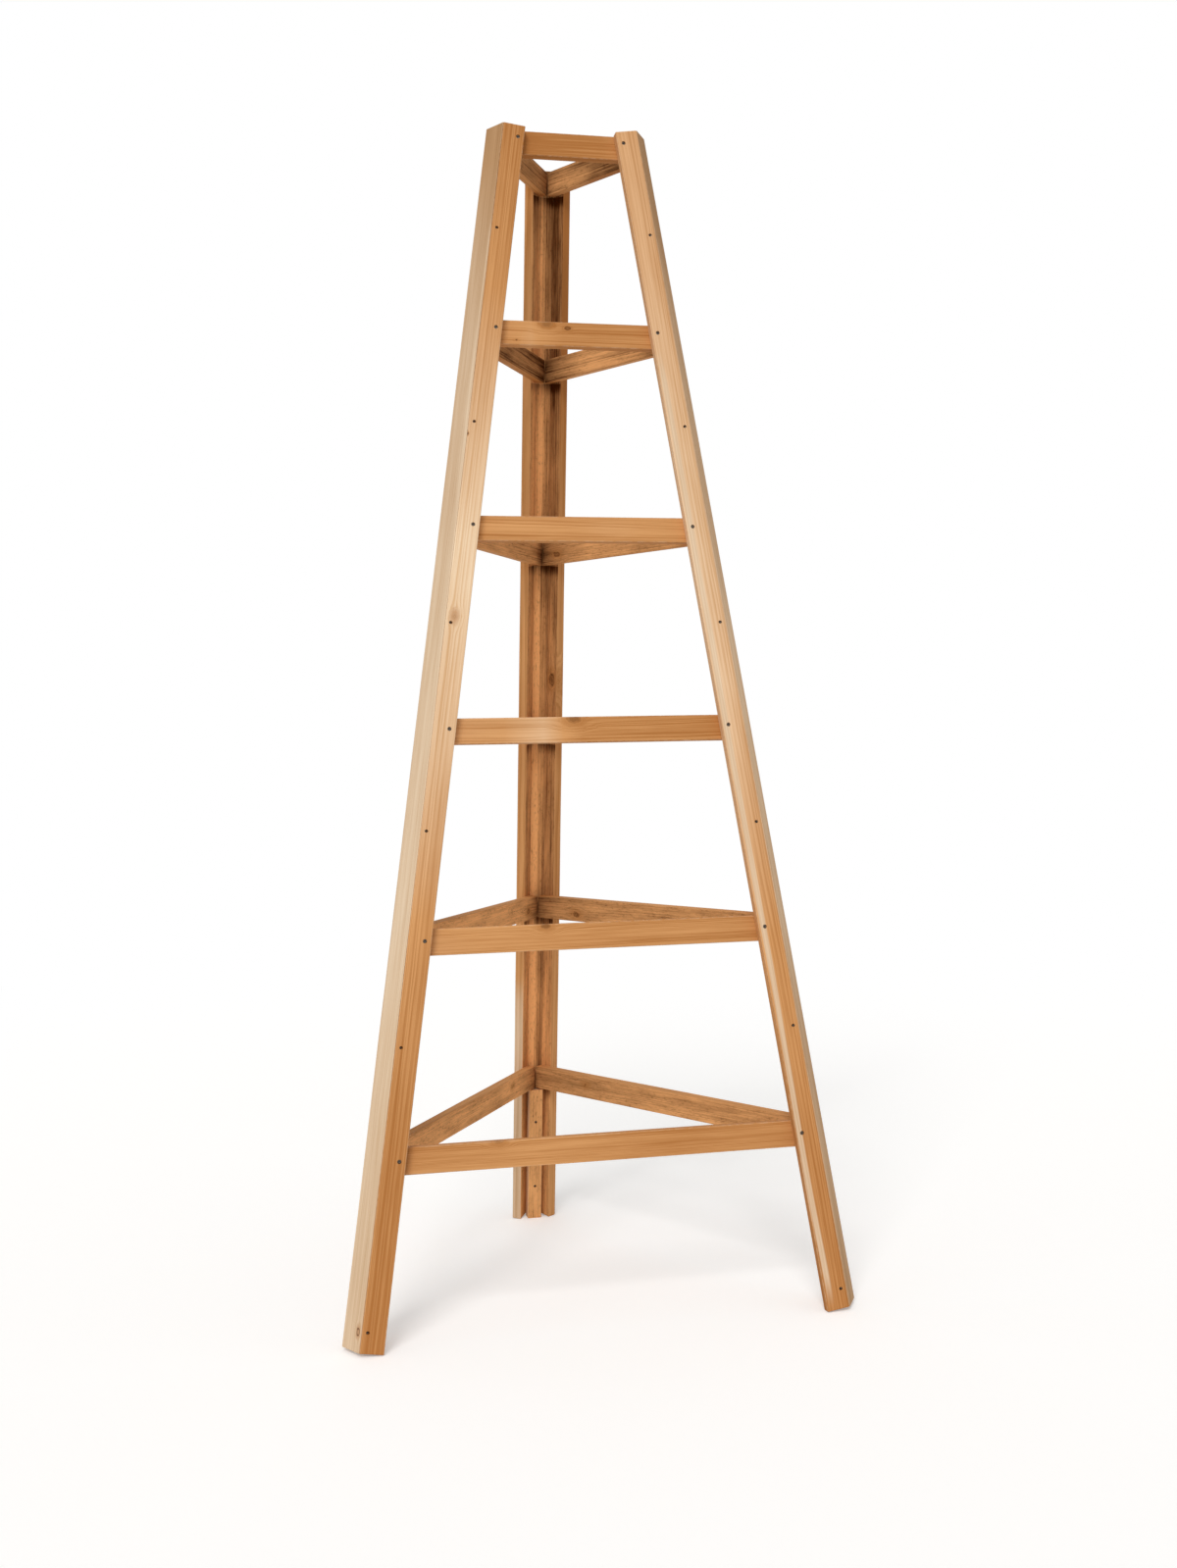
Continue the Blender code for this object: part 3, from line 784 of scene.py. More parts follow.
def growth_rings(node, look, grain, knots):
    """How late in its year the wood grew, 0 to 1, and less in some years than in others.

    The rings are cylinders about the pith that wander a little along the board. A ring's year
    is the distance from the pith over the rings' width, and drifts in good and bad years.
    Round a knot its own years take over.
    """
    bent = knots.bent
    for pattern, wander in DRIFTS:
        drift = grain(*pattern, out="Color")
        drift = node("VectorMath", drift, (0.0, wander, wander), operation="MULTIPLY")
        bent = node("VectorMath", bent, drift, operation="ADD")
    bent = node("VectorMath", bent, (0.0, *look.pith), operation="SUBTRACT")
    bent = node("VectorMath", bent, (0.0, 1.0, 1.0), operation="MULTIPLY")
    distance = node("VectorMath", bent, operation="LENGTH")
    years = node("Math", distance, look.ring, operation="DIVIDE")
    spread = node("Math", years, YEARS_PACE, operation="MULTIPLY")
    spread = node("TexNoise", spread, 1.0, 1.0, noise_dimensions="1D")
    years = node("Math", spread, YEARS_SHIFT, years, operation="MULTIPLY_ADD")
    if look.knots:
        around = node("MapRange", knots.halo, 0.35, 0.7, **SOFTLY)
        years = node("Mix", around, years, knots.years)
    season = node("Math", years, operation="FRACT")
    late = node("MapRange", season, *LATE_WOOD, **SOFTLY)
    end = node("MapRange", season, *YEAR_END, **SOFTLY)
    late = node("Math", late, end, operation="MULTIPLY")
    year = node("Math", years, operation="FLOOR")
    year = node("TexWhiteNoise", year, out="Value", noise_dimensions="1D")
    strength = node("Math", year, 1.0 - WEAKEST_YEAR, WEAKEST_YEAR, operation="MULTIPLY_ADD")
    return node("Math", late, strength, operation="MULTIPLY")


def set_stops(ramp, stops):
    """Grey stops of a ramp, from (place, value) pairs whose places rise."""
    low, high = stops[0][0], stops[-1][0]
    while len(ramp.elements) < len(stops):
        ramp.elements.new(0.5)
    for element, (place, value) in zip(ramp.elements, stops):
        element.position = (place - low) / (high - low)
        grey = value / MOST_CHANGE
        element.color = (grey, grey, grey, 1.0)


def change_along(node, stops, along):
    """Share of a board's change at its places along it."""
    change = node("MapRange", along, stops[0][0], stops[-1][0])
    change = node("ValToRGB", change, out="Color")
    set_stops(change.node.color_ramp, stops)
    return node("Math", change, MOST_CHANGE, operation="MULTIPLY")


def streak_share(node, streak, along, across, cloud):
    """Share of a pale streak, 1 in its middle and fading at its sides and ends."""
    middle, half, start, stop = streak
    place = node("Math", cloud, STREAK_WANDER, -STREAK_WANDER / 2 - middle,
                 operation="MULTIPLY_ADD")
    off = node("Math", node("Math", across, place, operation="ADD"), operation="ABSOLUTE")
    share = node("MapRange", off, half + STREAK_BLUR, half - STREAK_BLUR, **SOFTLY)
    for place, fade in ((start, STREAK_FADE), (stop, -STREAK_FADE)):
        inside = node("MapRange", along, place, place + fade, **SOFTLY)
        share = node("Math", share, inside, operation="MULTIPLY")
    return share


def painted_rung_shade(node, damp, along):
    """Painted shade on the sawn wood just below each rung, where the rung would cast it."""
    first, pitch = damp
    under = node("Math", along, 1.0 / pitch, -first / pitch, operation="MULTIPLY_ADD")
    under = node("Math", under, operation="FRACT")
    return node("MapRange", under, 0.93, 1.0, 0.0, 0.4, **SOFTLY)


def torn_flecks(node, grain, blotch, inner):
    """Share of the dark flecks that the saw tears, thicker in some blotches of the wood."""
    fleck = node("MapRange", grain(*TORN), 0.5, 0.7, 0.0, 0.5, **SOFTLY)
    thick = node("MapRange", blotch, 0.35, 0.6, 0.3, 1.0)
    fleck = node("Math", fleck, thick, operation="MULTIPLY")
    return node("Math", fleck, inner, operation="MULTIPLY")


def saw_marks(node, along, across, inner):
    """Fine waves across the inner faces, as the sine of a turn for each saw mark."""
    mark = node("Math", across, SAW_SKEW, along, operation="MULTIPLY_ADD")
    mark = node("Math", mark, 2 * math.pi / SAW_PITCH, operation="MULTIPLY")
    return node("Math", node("Math", mark, operation="SINE"), inner, operation="MULTIPLY")


def edge_fuzz_and_highlight(node, wood, edge, depth):
    """Share of the pale fuzz and painted highlight on the eased edges, patchy, and only on a
    board's outer ones.
    """
    fuzz_and_highlight = node("MapRange", node("TexNoise", wood, *EDGE_FUZZ_AND_HIGHLIGHT), 0.35, 0.65)
    for share in (node("MapRange", edge, 0.55, 1.0, 0.0, 0.4),
                  node("MapRange", depth, *BACK_EDGES)):
        fuzz_and_highlight = node("Math", fuzz_and_highlight, share, operation="MULTIPLY")
    return fuzz_and_highlight


def cedar(name, look, colours):
    """Western red cedar, planed outside and rough sawn inside, left bare.

    To the eye: straight fine growth rings as thin dark lines along the board, slow changes
    from pale tan to ripe orange brown that also carry painted shade, silky fibres, dark knots
    with the rings bent round them, arcs of rings on the cut ends and pale fuzzy edges with a
    painted highlight. The sawn inner faces are darker, as sawn wood and with painted shade,
    with dark flecks and fine marks across the grain, and the holes are darkened with painted
    shade. Real rings are 1 to 3 mm wide and are drawn at 3 to 4.5 mm, because the finest would
    not show.
    """
    material, node = new_material(name)
    tint = partial(two_tone, node, colours)
    board = node("Attribute", attribute_name="board", out="Vector")
    cut, inner, edge, hole = (node("Attribute", attribute_name=kind, out="Fac")
                              for kind in ("cut", "inner", "edge", "hole"))
    along, across, depth = (node("SeparateXYZ", board, out=axis) for axis in "XYZ")
    shift = np.random.default_rng(look.seed).uniform(-5.0, 5.0, 3)
    wood = node("VectorMath", board, tuple(shift), operation="ADD")
    grain = partial(drawn_out, node, wood)
    fibre, band, cloud, blotch = (grain(*kind) for kind in (FIBRE, BAND, CLOUD, BLOTCH))
    knots = knot_fields(node, look, board, wood)
    late = growth_rings(node, look, grain, knots)
    change = change_along(node, look.change, along)

    # Planed wood: its tone from the rings and fibres, and its colour from the change
    dark = weighted_sum(node, -1.08, (late, 0.7), (band, 1.3), (fibre, 1.2), (cloud, 0.2))
    dark = node("Math", dark, look.lines, MEAN_TONE * (1 - look.lines), operation="MULTIPLY_ADD")
    darker = node("MapRange", change, DARKENS_FROM, MOST_CHANGE, 0.0,
                  DARKENING * (MOST_CHANGE - DARKENS_FROM))
    tone = node("Math", dark, darker, operation="ADD")
    share = node("Math", cloud, 0.3, change, operation="MULTIPLY_ADD")
    share = node("MapRange", share, 0.15, 0.85)
    colour = node("Mix", share, tint(look.first, tone), tint(look.second, tone),
                  data_type="RGBA")

    # Layers over it, as share and colour: first a pale streak of sapwood, which on the left spine
    # is a painted highlight along its front arris
    layers = []
    streak = 0.0
    if look.streak:
        streak = streak_share(node, look.streak, along, across, cloud)
        layers.append((node("Math", streak, 0.8, operation="MULTIPLY"), tint("sap", dark)))

    # Rough sawn wood inside the tower, darker as sawn wood and with painted shade
    deep = weighted_sum(node, -0.66 - 0.5 * look.bands, (late, 0.25), (band, look.bands),
                        (fibre, 0.8), (blotch, 0.7), (change, 0.5), (across, look.tilt),
                        (streak, -0.35))
    # Painted shade just below each rung on the sawn inner faces
    if look.damp:
        deep = node("Math", deep, painted_rung_shade(node, look.damp, along), operation="ADD")
    flecks = torn_flecks(node, grain, blotch, inner)
    marks = saw_marks(node, along, across, inner)
    layers += [(inner, tint("sawn", deep)), (flecks, linear(colours.sawn_dark))]

    # Knots: a reddish halo, a dark heart and a thin bark
    if look.knots:
        heart = node("Mix", node("TexNoise", wood, KNOT_HEART), linear(colours.knot),
                     linear(colours.sawn_dark), data_type="RGBA")
        halo = node("Math", knots.halo, 0.5, operation="MULTIPLY")
        layers += [(halo, linear(colours.ripe_dark)), (knots.heart, heart),
                   (knots.bark, linear(colours.knot))]

    # Holes are darkened with painted shade, cut ends drink in the light, and outer edges are fuzzy
    # and pale with a painted highlight
    layers += [(node("Math", hole, 0.85, operation="MULTIPLY"), linear(colours.knot)),
               (node("Math", cut, 0.35, operation="MULTIPLY"), linear(colours.ripe_dark)),
               (edge_fuzz_and_highlight(node, wood, edge, depth), linear(colours.sap_light))]
    for share, layer in layers:
        colour = node("Mix", share, colour, layer, data_type="RGBA")

    rough = weighted_sum(node, 0.64, (late, -0.12), (inner, 0.15), (cut, 0.12))
    height = weighted_sum(node, 0.0, (fibre, 0.6), (late, 0.5), (marks, 0.6), (flecks, -1.6))
    normal = node("Bump", named={"Height": height, "Distance": RELIEF, "Strength": 0.7})
    surface = node("BsdfPrincipled", named={"Base Color": colour, "Roughness": rough,
                                            "Normal": normal, "Specular IOR Level": DRY_GLOSS})
    node("OutputMaterial", surface)
    return material


# Sawdust and painted shade in the heads, as patches in a metre, 1 mm wide, and detail
DUST_AND_SHADE = (900.0, 3.0)


def stainless_steel(colours):
    """Stainless steel screws, cold headed: soft grey glints, and brown sawdust in the cross; the
    sawdust and the darkened steel also stand for painted shade in the sunk heads.
    """
    material, node = new_material("stainless_steel")
    place = node("TexCoord", out="Object")
    dust_and_shade = node("MapRange", node("TexNoise", place, *DUST_AND_SHADE), 0.42, 0.66, **SOFTLY)
    # Sawdust and painted shade darken the heads
    share = node("Math", dust_and_shade, 0.6, operation="MULTIPLY")
    colour = node("Mix", share, linear(colours.steel), linear(colours.knot), data_type="RGBA")
    rough = node("Math", dust_and_shade, 0.3, 0.3, operation="MULTIPLY_ADD")
    surface = node("BsdfPrincipled", named={"Base Color": colour, "Roughness": rough,
                                            "Metallic": 1.0})
    node("OutputMaterial", surface)
    return material


# Boards

Props = namedtuple("Props", "tower sizes screws colours")


def scene_props(scene):
    """The scene's sizes and colours, and the tower that follows from them."""
    return Props(Tower(scene.obelisk_sizes), scene.obelisk_sizes, scene.obelisk_screws,
                 scene.obelisk_colours)


def make_board(corners, eased, low, high, place, props, look, slot, node, cuts):
    """A board for a node, from its section and ends, drilled and given its cedar."""
    name = f"{node}_cedar"
    rng = np.random.default_rng(look.seed)
    grid = board_points(corners, eased, low, high, props.sizes.easing, rng, CHIPS.get(node, ()))
    obj = board_object(name, grid, place)
    cutters = []
    for k, (matrix, (entries, inward, reach, head)) in enumerate(cuts):
        profile = hole_profile(props.screws, reach, head)
        cutters.append(turned_object(f"{name}_cutter_{k}", profile, entries, inward, matrix,
                                     HOLE_SIDES))
    drill(obj, cutters)
    for cutter in cutters:
        bpy.data.objects.remove(cutter)
    keep_board_coordinates(obj, place, corners, cuts)
    smooth(obj)
    finish_piece(obj, cedar(name, look, props.colours), slot, node)


# Looks of the boards. The places where their tones change follow the real object, and the
# changes hold painted shade as well as the wood's own tones: the upper boards are darker, and
# so are the back leg's inner faces where the rungs cross them.
PLAIN = CedarLook(first="pale", second="ripe", change=((0.0, 0.6), (1.8, 0.6)), streak=None,
                  lines=1.0, bands=0.6, tilt=0.0, damp=None, knots=(), pith=(0.15, -0.03),
                  ring=0.0036, seed=1)
SPINE_LOOKS = {
    # The left spine's streak runs along its front arris: a painted highlight on the eased edge
    "left": PLAIN._replace(
        first="sap", second="grey", streak=(-0.0185, 0.003, 0.9, 1.68),
        knots=((0.028, -0.0133, 0.0032, 0.1, 0.8),),
        change=((0.0, 0.1), (0.5, 0.0), (1.05, 0.04), (1.6, 0.4), (1.83, 0.8)), seed=11),
    "right": PLAIN._replace(
        second="grey", seed=12,
        change=((0.0, 0.6), (0.25, 0.55), (0.55, 0.35), (0.9, 0.15), (1.3, 0.45), (1.83, 0.8))),
    "back": PLAIN._replace(
        change=((0.0, 0.37), (0.27, 0.47), (0.4, 0.0), (0.53, 0.35), (0.66, 0.2), (0.9, 0.05),
                (1.1, 0.3), (1.17, 0.55), (1.3, 0.18), (1.42, 0.3), (1.68, 0.68), (1.83, 0.85)),
        streak=(-0.004, 0.004, 0.0, 1.83), tilt=22.0, bands=0.9, ring=0.0045, seed=13),
}
FLANGE_LOOKS = {
    "left_leg_front": PLAIN._replace(
        change=((0.0, 1.05), (0.2, 1.0), (0.53, 0.82), (0.87, 0.23), (1.13, 0.0), (1.36, 0.33),
                (1.58, 0.7), (1.83, 1.05)),
        knots=((1.3275, 0.0015, 0.0013, 0.8, 0.0), (1.0478, 0.0136, 0.0042, 0.1, 0.0)),
        ring=0.0042, seed=21),
    "left_leg_left": PLAIN._replace(first="sap", change=((0.0, 0.3), (1.83, 0.6)), seed=22),
    "right_leg_right": PLAIN._replace(change=((0.0, 0.7), (1.83, 0.4)), seed=23),
    "right_leg_front": PLAIN._replace(
        change=((0.0, 1.0), (0.25, 0.95), (0.62, 0.58), (0.95, 0.25), (1.3, 0.2), (1.62, 0.5),
                (1.83, 0.6)),
        streak=(0.0285, 0.0042, 0.0, 1.48), ring=0.0045, seed=24),
    "back_leg_left": PLAIN._replace(
        first="ripe", streak=(0.037, 0.004, -0.1, 0.45), bands=0.9, seed=25,
        change=((0.0, 0.3), (0.15, 0.32), (0.28, 0.55), (0.4, 0.2), (0.66, 0.4), (0.8, 0.3),
                (1.1, 0.4), (1.17, 0.85), (1.26, 0.0), (1.42, 0.05), (1.68, 0.25), (1.76, 0.55),
                (1.83, 1.3))),
    "back_leg_right": PLAIN._replace(
        first="ripe", bands=0.9, knots=((0.969, 0.0235, 0.008, 0.6, 0.8),), seed=26,
        change=((0.0, 0.41), (0.4, 0.32), (0.53, 0.8), (0.66, 0.75), (0.9, 0.58), (1.17, 0.8),
                (1.3, 0.85), (1.42, 1.15), (1.65, 1.5), (1.76, 1.4), (1.83, 1.4))),
}
SPINE_SLOTS = {"left": "pale_cedar", "right": "cedar", "back": "dark_cedar"}
# Most side rungs darken steeply over their last few centimetres at the back corner: painted shade
# where they meet, with some dirt
RUNG_LOOKS = {
    "front_rung_1": dict(
        change=((-0.31, 0.9), (-0.1, 0.7), (0.1, 0.93), (0.31, 0.9)),
        knots=((-0.155, 0.0195, 0.005, 0.2, 0.0),)),
    "front_rung_2": dict(
        change=((-0.27, 0.7), (-0.05, 0.75), (0.27, 0.95)),
        knots=((-0.076, 0.0165, 0.005, 0.5, 0.15),)),
    "front_rung_3": dict(
        change=((-0.22, 0.65), (-0.13, 0.65), (-0.07, 0.4), (-0.01, 0.98), (0.22, 1.0)),
        knots=((-0.023, 0.0165, 0.007, 0.45, 0.2),)),
    "front_rung_4": dict(change=((-0.18, 0.75), (0.18, 0.75))),
    "front_rung_5": dict(
        change=((-0.14, 0.9), (-0.07, 0.65), (-0.02, 1.0), (0.14, 0.9)),
        knots=((-0.045, 0.0158, 0.0055, 0.35, 0.25), (-0.0128, 0.0096, 0.0028, 0.5, 0.7),
               (-0.0934, -0.0116, 0.0013, 0.8, 0.0))),
    "front_rung_6": dict(change=((-0.1, 1.3), (0.05, 1.2), (0.1, 0.85))),
    "right_rung_1": dict(
        change=((-0.31, 0.5), (-0.12, 0.5), (0.0, 0.42), (0.12, 0.57), (0.2, 0.7), (0.25, 0.6),
                (0.31, 0.75)),
        knots=((0.18, 0.004, 0.005, 0.6, 0.5),)),
    "right_rung_2": dict(
        change=((-0.27, 0.55), (-0.08, 0.7), (0.1, 0.5), (0.165, 0.62), (0.2, 0.6), (0.24, 0.92),
                (0.27, 1.2)),
        knots=((0.169, -0.0071, 0.006, 0.7, 0.6),)),
    "right_rung_3": dict(
        change=((-0.23, 0.4), (0.1, 0.45), (0.14, 0.75), (0.19, 0.55), (0.23, 1.1))),
    "right_rung_4": dict(
        change=((-0.18, 0.4), (-0.05, 0.4), (0.05, 0.15), (0.12, 0.4), (0.15, 0.54), (0.18, 1.12)),
        knots=((0.147, -0.0036, 0.006, 0.7, 0.6),)),
    "right_rung_5": dict(change=((-0.14, 0.4), (0.05, 0.36), (0.11, 0.86), (0.14, 1.4))),
    "right_rung_6": dict(
        change=((-0.1, 1.25), (-0.015, 1.5), (0.01, 0.85), (0.045, 0.45), (0.075, 0.5),
                (0.1, 0.95))),
    "left_rung_1": dict(
        change=((-0.31, 0.55), (-0.27, 0.4), (-0.21, 0.0), (-0.12, 0.3), (0.0, 0.28),
                (0.12, 0.15), (0.31, 0.15)),
        knots=((-0.2, 0.006, 0.005, 0.6, 0.5),)),
    "left_rung_2": dict(
        change=((-0.27, 1.25), (-0.24, 0.75), (-0.2, 0.3), (-0.165, 0.07), (0.27, 0.2)),
        knots=((-0.225, -0.003, 0.006, 0.7, 0.6),)),
    "left_rung_3": dict(change=((-0.23, 1.24), (-0.18, 0.48), (0.23, 0.41))),
    "left_rung_4": dict(
        change=((-0.18, 1.24), (-0.15, 0.58), (-0.12, 0.44), (0.0, 0.36), (0.05, 0.2),
                (0.18, 0.2))),
    "left_rung_5": dict(change=((-0.14, 1.5), (-0.1, 1.2), (0.0, 0.97), (0.06, 1.2), (0.14, 0.6))),
    "left_rung_6": dict(change=((-0.1, 1.27), (-0.06, 0.98), (0.0, 0.9), (0.1, 0.8))),
}

# Chips in the edges, as (corner, place along the board, spread, depth)
CHIPS = {
    "left_leg_spine": ((1, 0.070, 0.005, 0.0014), (1, 0.022, 0.018, 0.0007)),
    "left_leg_front_flange": ((1, 1.3275, 0.004, 0.0016),),
}


def build_spines(props):
    """The boards across the corners of the legs."""
    sizes, tower = props.sizes, props.tower
    outer = sizes.spine_width / 2 - tower.mitre_gap
    inner = outer - tower.mitre
    corners = ((outer, 0.0), (-outer, 0.0), (-inner, -sizes.thickness), (inner, -sizes.thickness))
    for leg, bearing in LEGS.items():
        place = tower.spine_place(bearing)
        cuts = [(tower.flange_place(bearing, side), tower.seam_screws(props.screws))
                for side in (1, -1)]
        cuts.append((place, tower.batten_screws(props.screws)))
        look = SPINE_LOOKS[leg]._replace(lines=0.8, damp=tower.rung_spots())
        make_board(corners, (0, 1), square_cut(0.0), square_cut(tower.leg_length), place, props,
                   look, SPINE_SLOTS[leg], f"{leg}_leg_spine", cuts)


def build_flanges(props):
    """The boards beside the spines, in the faces of the tower."""
    sizes, tower = props.sizes, props.tower
    back = -sizes.thickness
    corners = ((sizes.flange_width, 0.0), (tower.mitre_gap, 0.0),
               (tower.mitre + tower.mitre_gap, back), (sizes.flange_width, back))
    for leg, bearing in LEGS.items():
        for side in (1, -1):
            node = f"{leg}_leg_{face_beside(bearing, side)}"
            place = tower.flange_place(bearing, side)
            cuts = [(place, tower.rung_screws(props.screws)),
                    (place, tower.seam_screws(props.screws))]
            slot = "dark_cedar" if leg == "back" else "cedar"
            look = FLANGE_LOOKS[node]._replace(lines=0.7, damp=tower.rung_spots())
            make_board(corners, (0, 1, 3), square_cut(0.0), square_cut(tower.leg_length), place,
                       props, look, slot, f"{node}_flange", cuts)


def build_battens(props):
    """The battens inside the feet."""
    sizes, tower = props.sizes, props.tower
    half = sizes.spine_width / 2 - tower.mitre - tower.mitre_gap
    near = -sizes.thickness - sizes.gap
    far = near - sizes.batten_depth
    corners = ((half, near), (-half, near), (-half, far), (half, far))
    for number, (leg, bearing) in enumerate(LEGS.items()):
        place = tower.spine_place(bearing)
        look = PLAIN._replace(change=((0.0, 0.3), (0.25, 0.1)), seed=31 + number)
        make_board(corners, (2, 3), lambda y, z: tower.leg_z(0.0, z),
                   lambda y, z: tower.leg_z(tower.batten_top(), z), place, props, look, "cedar",
                   f"{leg}_leg_batten", [(place, tower.batten_screws(props.screws))])


def build_rungs(props):
    """The rungs of the three faces."""
    sizes, tower = props.sizes, props.tower
    half, back = sizes.rung_height / 2, -sizes.thickness
    corners = ((half, 0.0), (-half, 0.0), (-half, back), (half, back))
    entries, *other = tower.rung_screws(props.screws)
    for number, (face, bearing) in enumerate(FACES.items()):
        for level in range(sizes.rungs):
            short, long = (tower.rung_reach(level, rise) for rise in (half, -half))
            slant = (short - long) / (2 * half)
            cuts = [(tower.flange_place(bearing - side * HALF_CORNER, side),
                     ([entries[level]], *other)) for side in (1, -1)]
            name = f"{face}_rung_{level + 1}"
            look = PLAIN._replace(pith=(0.12, -0.05 - 0.02 * level), ring=0.003, lines=0.75,
                                  first="pale" if face == SCREWED_FACE else "ripe",
                                  seed=41 + 10 * number + level, **RUNG_LOOKS[name])
            make_board(corners, (0, 1, 2, 3), lambda y, z: -long - slant * (y + half),
                       lambda y, z: long + slant * (y + half),
                       tower.rung_place(bearing, level), props, look, "cedar", name, cuts)


def build_screws(props):
    """The screws: one piece for each solid, and one for each row that has no solids."""
    tower, screws = props.tower, props.screws
    steel = stainless_steel(props.colours)

    def screw_row(name, matrix, row, entries, *nodes):
        """Turn the screws of a row at some of its entries, as one piece."""
        _, inward, reach, head = row
        obj = turned_object(name, screw_profile(screws, reach, head), entries, inward, matrix,
                            SCREW_SIDES, screw_shape(screws, reach))
        smooth(obj)
        finish_piece(obj, steel, "stainless_screw", *nodes)

    for leg, bearing in LEGS.items():
        row = tower.batten_screws(screws)
        for number, entry in enumerate(row[0], 1):
            node = f"{leg}_batten_screw_{number}"
            screw_row(f"{node}_steel", tower.spine_place(bearing), row, [entry], node)
        for side in (1, -1):
            face = face_beside(bearing, side)
            place = tower.flange_place(bearing, side)
            for kind, row in (("rung", tower.rung_screws(screws)),
                              ("seam", tower.seam_screws(screws))):
                if face != SCREWED_FACE:
                    screw_row(f"{leg}_leg_{face}_{kind}_screws_steel", place, row, row[0])
                    continue
                for number, entry in enumerate(row[0], 1):
                    node = (f"{face}_rung_{number}_{leg}_screw" if kind == "rung"
                            else f"{leg}_leg_{face}_seam_screw_{number}")
                    screw_row(f"{node}_steel", place, row, [entry], node)


# Studio

# The floor, where it begins to fade and is all white, the grain of its paper as patches in a
# metre, 4 mm wide, and detail, and how much it is lifted for the camera
FLOOR_RADIUS = 9.0
FLOOR_RINGS = 48
FLOOR_SIDES = 96
FADE_START = 1.2
FADE_END = 4.0
PAPER_GRAIN = (260.0, 3.0)
FLOOR_LIFT = 0.26

# The light from all sides, and the key's direction, strength and spread
AIR_LIGHT = 0.47
KEY_FROM = (-0.324, -0.694, 0.643)
KEY_LIGHT = 1.7
KEY_SOFTNESS = math.radians(25.0)

# The photograph's camera, fitted to the tower's edges: metres, radians, and millimetres for
# the lens and the sensor
CAMERA_PLACE = (-0.5417, -2.7591, 0.8462)
CAMERA_YAW = -0.226
CAMERA_PITCH = 0.042
CAMERA_ROLL = -0.018
CAMERA_LENS = 39.22
CAMERA_SENSOR = 36.0
CAMERA_SHIFT = (-0.01497, -0.07168)
WHITE = (1.0, 1.0, 1.0, 1.0)


def build_floor(colours):
    """A flat round floor of pale paper, which fades into white away from the object.

    It is made of rings of points whose radius grows as the square of their number. The
    camera sees it a little lifted, as an even studio light would show it.
    """
    radius = FLOOR_RADIUS * np.linspace(0.0, 1.0, FLOOR_RINGS)[1:, None] ** 2
    angle = np.linspace(0.0, 2 * math.pi, FLOOR_SIDES, endpoint=False)
    flat = np.zeros((len(radius), len(angle)))
    ring = np.stack([radius * np.cos(angle), radius * np.sin(angle), flat], axis=-1)
    faces = grid_faces(FLOOR_RINGS - 1, FLOOR_SIDES)[:, ::-1].tolist()
    faces.append(list(range(FLOOR_SIDES)))
    floor = mesh_object("studio_floor", ring.reshape(-1, 3), faces, Matrix())

    material, node = new_material("studio_paper")
    place = node("TexCoord", out="Object")
    grain = node("TexNoise", place, *PAPER_GRAIN)
    away = node("VectorMath", place, operation="LENGTH")
    fade = node("MapRange", away, FADE_START, FADE_END, **SOFTLY)
    normal = node("Bump", named={"Height": grain, "Distance": 0.05 * MM, "Strength": 0.3})
    paper = node("BsdfPrincipled", named={"Base Color": linear(colours.floor), "Normal": normal,
                                          "Roughness": 0.9})
    lit = node("AddShader", paper, node("Emission", WHITE, FLOOR_LIFT))
    seen = node("MixShader", fade, lit, node("Emission", WHITE, 1.0))
    ray = node("LightPath", out="Is Camera Ray")
    node("OutputMaterial", node("MixShader", ray, paper, seen))
    floor.data.materials.append(material)


def build_world():
    """White behind the object for the camera and for reflections, and a soft plain light."""
    world = bpy.data.worlds.new("studio_air")
    world.use_nodes = True
    world.node_tree.nodes.clear()
    node = partial(add, world.node_tree)
    camera = node("LightPath", out="Is Camera Ray")
    glossy = node("LightPath", out="Is Glossy Ray")
    seen = node("Math", camera, glossy, operation="MAXIMUM")
    air = node("Background", WHITE, AIR_LIGHT)
    node("OutputWorld", node("MixShader", seen, air, node("Background", WHITE, 1.0)))
    bpy.context.scene.world = world


def build_key_lamp():
    """A soft key from the front, a little left and above, as even as daylight."""
    data = bpy.data.lights.new("key_lamp", "SUN")
    data.energy = KEY_LIGHT
    data.angle = KEY_SOFTNESS
    lamp = bpy.data.objects.new("key_lamp", data)
    lamp.rotation_euler = Vector(KEY_FROM).to_track_quat("Z", "Y").to_euler()
    bpy.context.scene.collection.objects.link(lamp)


def build_camera():
    """Camera at the photograph's place, a little left of the middle and level with the waist."""
    data = bpy.data.cameras.new("studio_camera")
    data.lens = CAMERA_LENS
    data.sensor_width = CAMERA_SENSOR
    data.shift_x, data.shift_y = CAMERA_SHIFT
    camera = bpy.data.objects.new("studio_camera", data)
    turn = (Matrix.Rotation(CAMERA_YAW, 4, "Z")
            @ Matrix.Rotation(math.pi / 2 + CAMERA_PITCH, 4, "X")
            @ Matrix.Rotation(CAMERA_ROLL, 4, "Z"))
    camera.matrix_world = Matrix.Translation(CAMERA_PLACE) @ turn
    bpy.context.scene.collection.objects.link(camera)
    bpy.context.scene.camera = camera
    bpy.context.scene.view_settings.view_transform = "Standard"


# Add-on


class OBELISK_OT_spines(bpy.types.Operator):
    """Build the boards across the corners of the three legs"""

    bl_idname = "obelisk.spines"
    bl_label = "Spines"

    def execute(self, context):
        build_spines(scene_props(context.scene))
        return {"FINISHED"}


class OBELISK_OT_flanges(bpy.types.Operator):
    """Build the boards of the legs that lie in the faces of the tower"""

    bl_idname = "obelisk.flanges"
    bl_label = "Flanges"

    def execute(self, context):
        build_flanges(scene_props(context.scene))
        return {"FINISHED"}


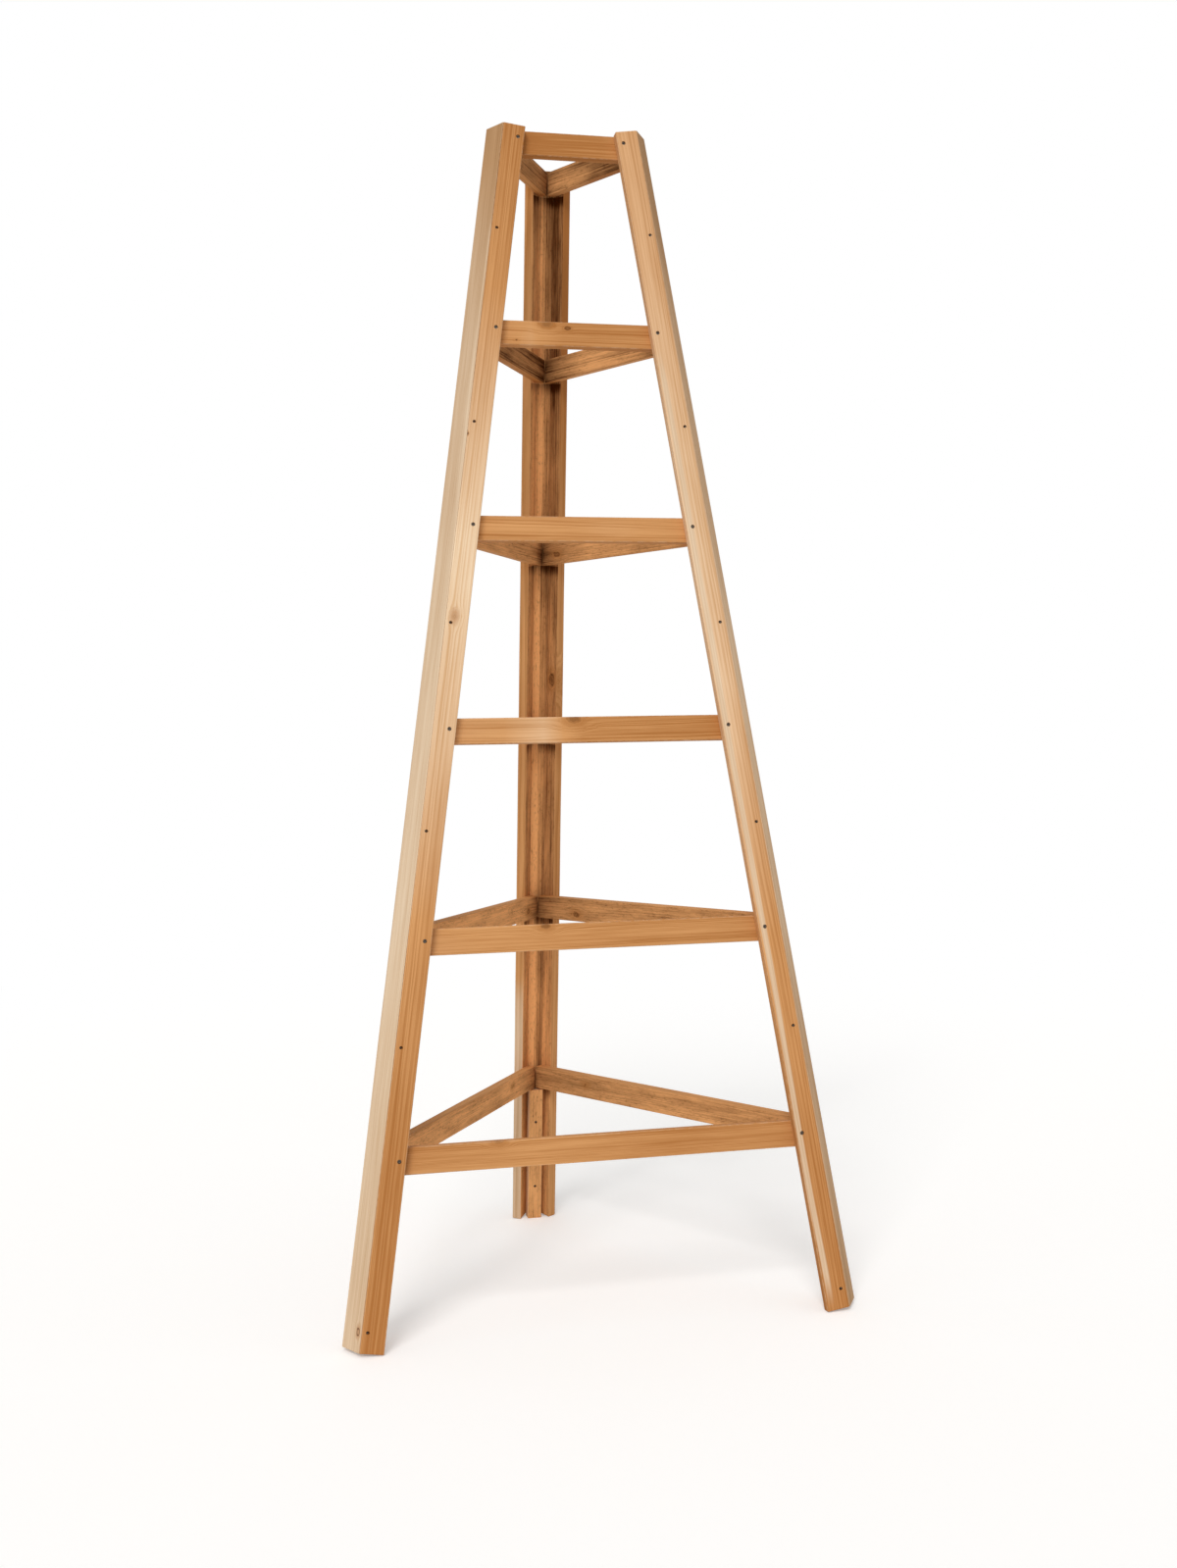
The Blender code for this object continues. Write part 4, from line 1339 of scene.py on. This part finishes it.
class OBELISK_OT_battens(bpy.types.Operator):
    """Build the battens inside the feet of the legs"""

    bl_idname = "obelisk.battens"
    bl_label = "Battens"

    def execute(self, context):
        build_battens(scene_props(context.scene))
        return {"FINISHED"}


class OBELISK_OT_rungs(bpy.types.Operator):
    """Build the rungs of the three faces"""

    bl_idname = "obelisk.rungs"
    bl_label = "Rungs"

    def execute(self, context):
        build_rungs(scene_props(context.scene))
        return {"FINISHED"}


class OBELISK_OT_screws(bpy.types.Operator):
    """Build the countersunk screws"""

    bl_idname = "obelisk.screws"
    bl_label = "Screws"

    def execute(self, context):
        build_screws(scene_props(context.scene))
        return {"FINISHED"}


class OBELISK_OT_stage(bpy.types.Operator):
    """Build the floor, the light and the camera"""

    bl_idname = "obelisk.stage"
    bl_label = "Stage"

    def execute(self, context):
        build_floor(context.scene.obelisk_colours)
        build_world()
        build_key_lamp()
        build_camera()
        return {"FINISHED"}


class OBELISK_PT_panel(bpy.types.Panel):
    """The steps of building the obelisk, with its sizes and colours"""

    bl_idname = "OBELISK_PT_panel"
    bl_label = "Cedar Obelisk"
    bl_space_type = "VIEW_3D"
    bl_region_type = "UI"
    bl_category = "Obelisk"

    def draw(self, context):
        layout = self.layout
        for operator in OPERATORS:
            layout.operator(operator.bl_idname)
        for group_name in GROUPS:
            group = getattr(context.scene, group_name)
            layout.label(text=group_name.removeprefix("obelisk_").capitalize())
            for name in group.bl_rna.properties.keys():
                if name not in ("rna_type", "name"):
                    layout.prop(group, name)


GROUPS = {"obelisk_sizes": OBELISK_PG_sizes, "obelisk_screws": OBELISK_PG_screws,
          "obelisk_colours": OBELISK_PG_colours}
OPERATORS = (OBELISK_OT_spines, OBELISK_OT_flanges, OBELISK_OT_battens, OBELISK_OT_rungs,
             OBELISK_OT_screws, OBELISK_OT_stage)
KINDS = (*GROUPS.values(), *OPERATORS, OBELISK_PT_panel)


def register():
    """Make the groups, the operators and the panel known to Blender."""
    for kind in KINDS:
        bpy.utils.register_class(kind)
    for name, group in GROUPS.items():
        setattr(bpy.types.Scene, name, PointerProperty(type=group))


def unregister():
    """Take them out again."""
    for name in GROUPS:
        delattr(bpy.types.Scene, name)
    for kind in reversed(KINDS):
        bpy.utils.unregister_class(kind)


def main():
    """Build everything in order."""
    register()
    bpy.ops.obelisk.spines()
    bpy.ops.obelisk.flanges()
    bpy.ops.obelisk.battens()
    bpy.ops.obelisk.rungs()
    bpy.ops.obelisk.screws()
    bpy.ops.obelisk.stage()


if __name__ == "__main__":
    main()
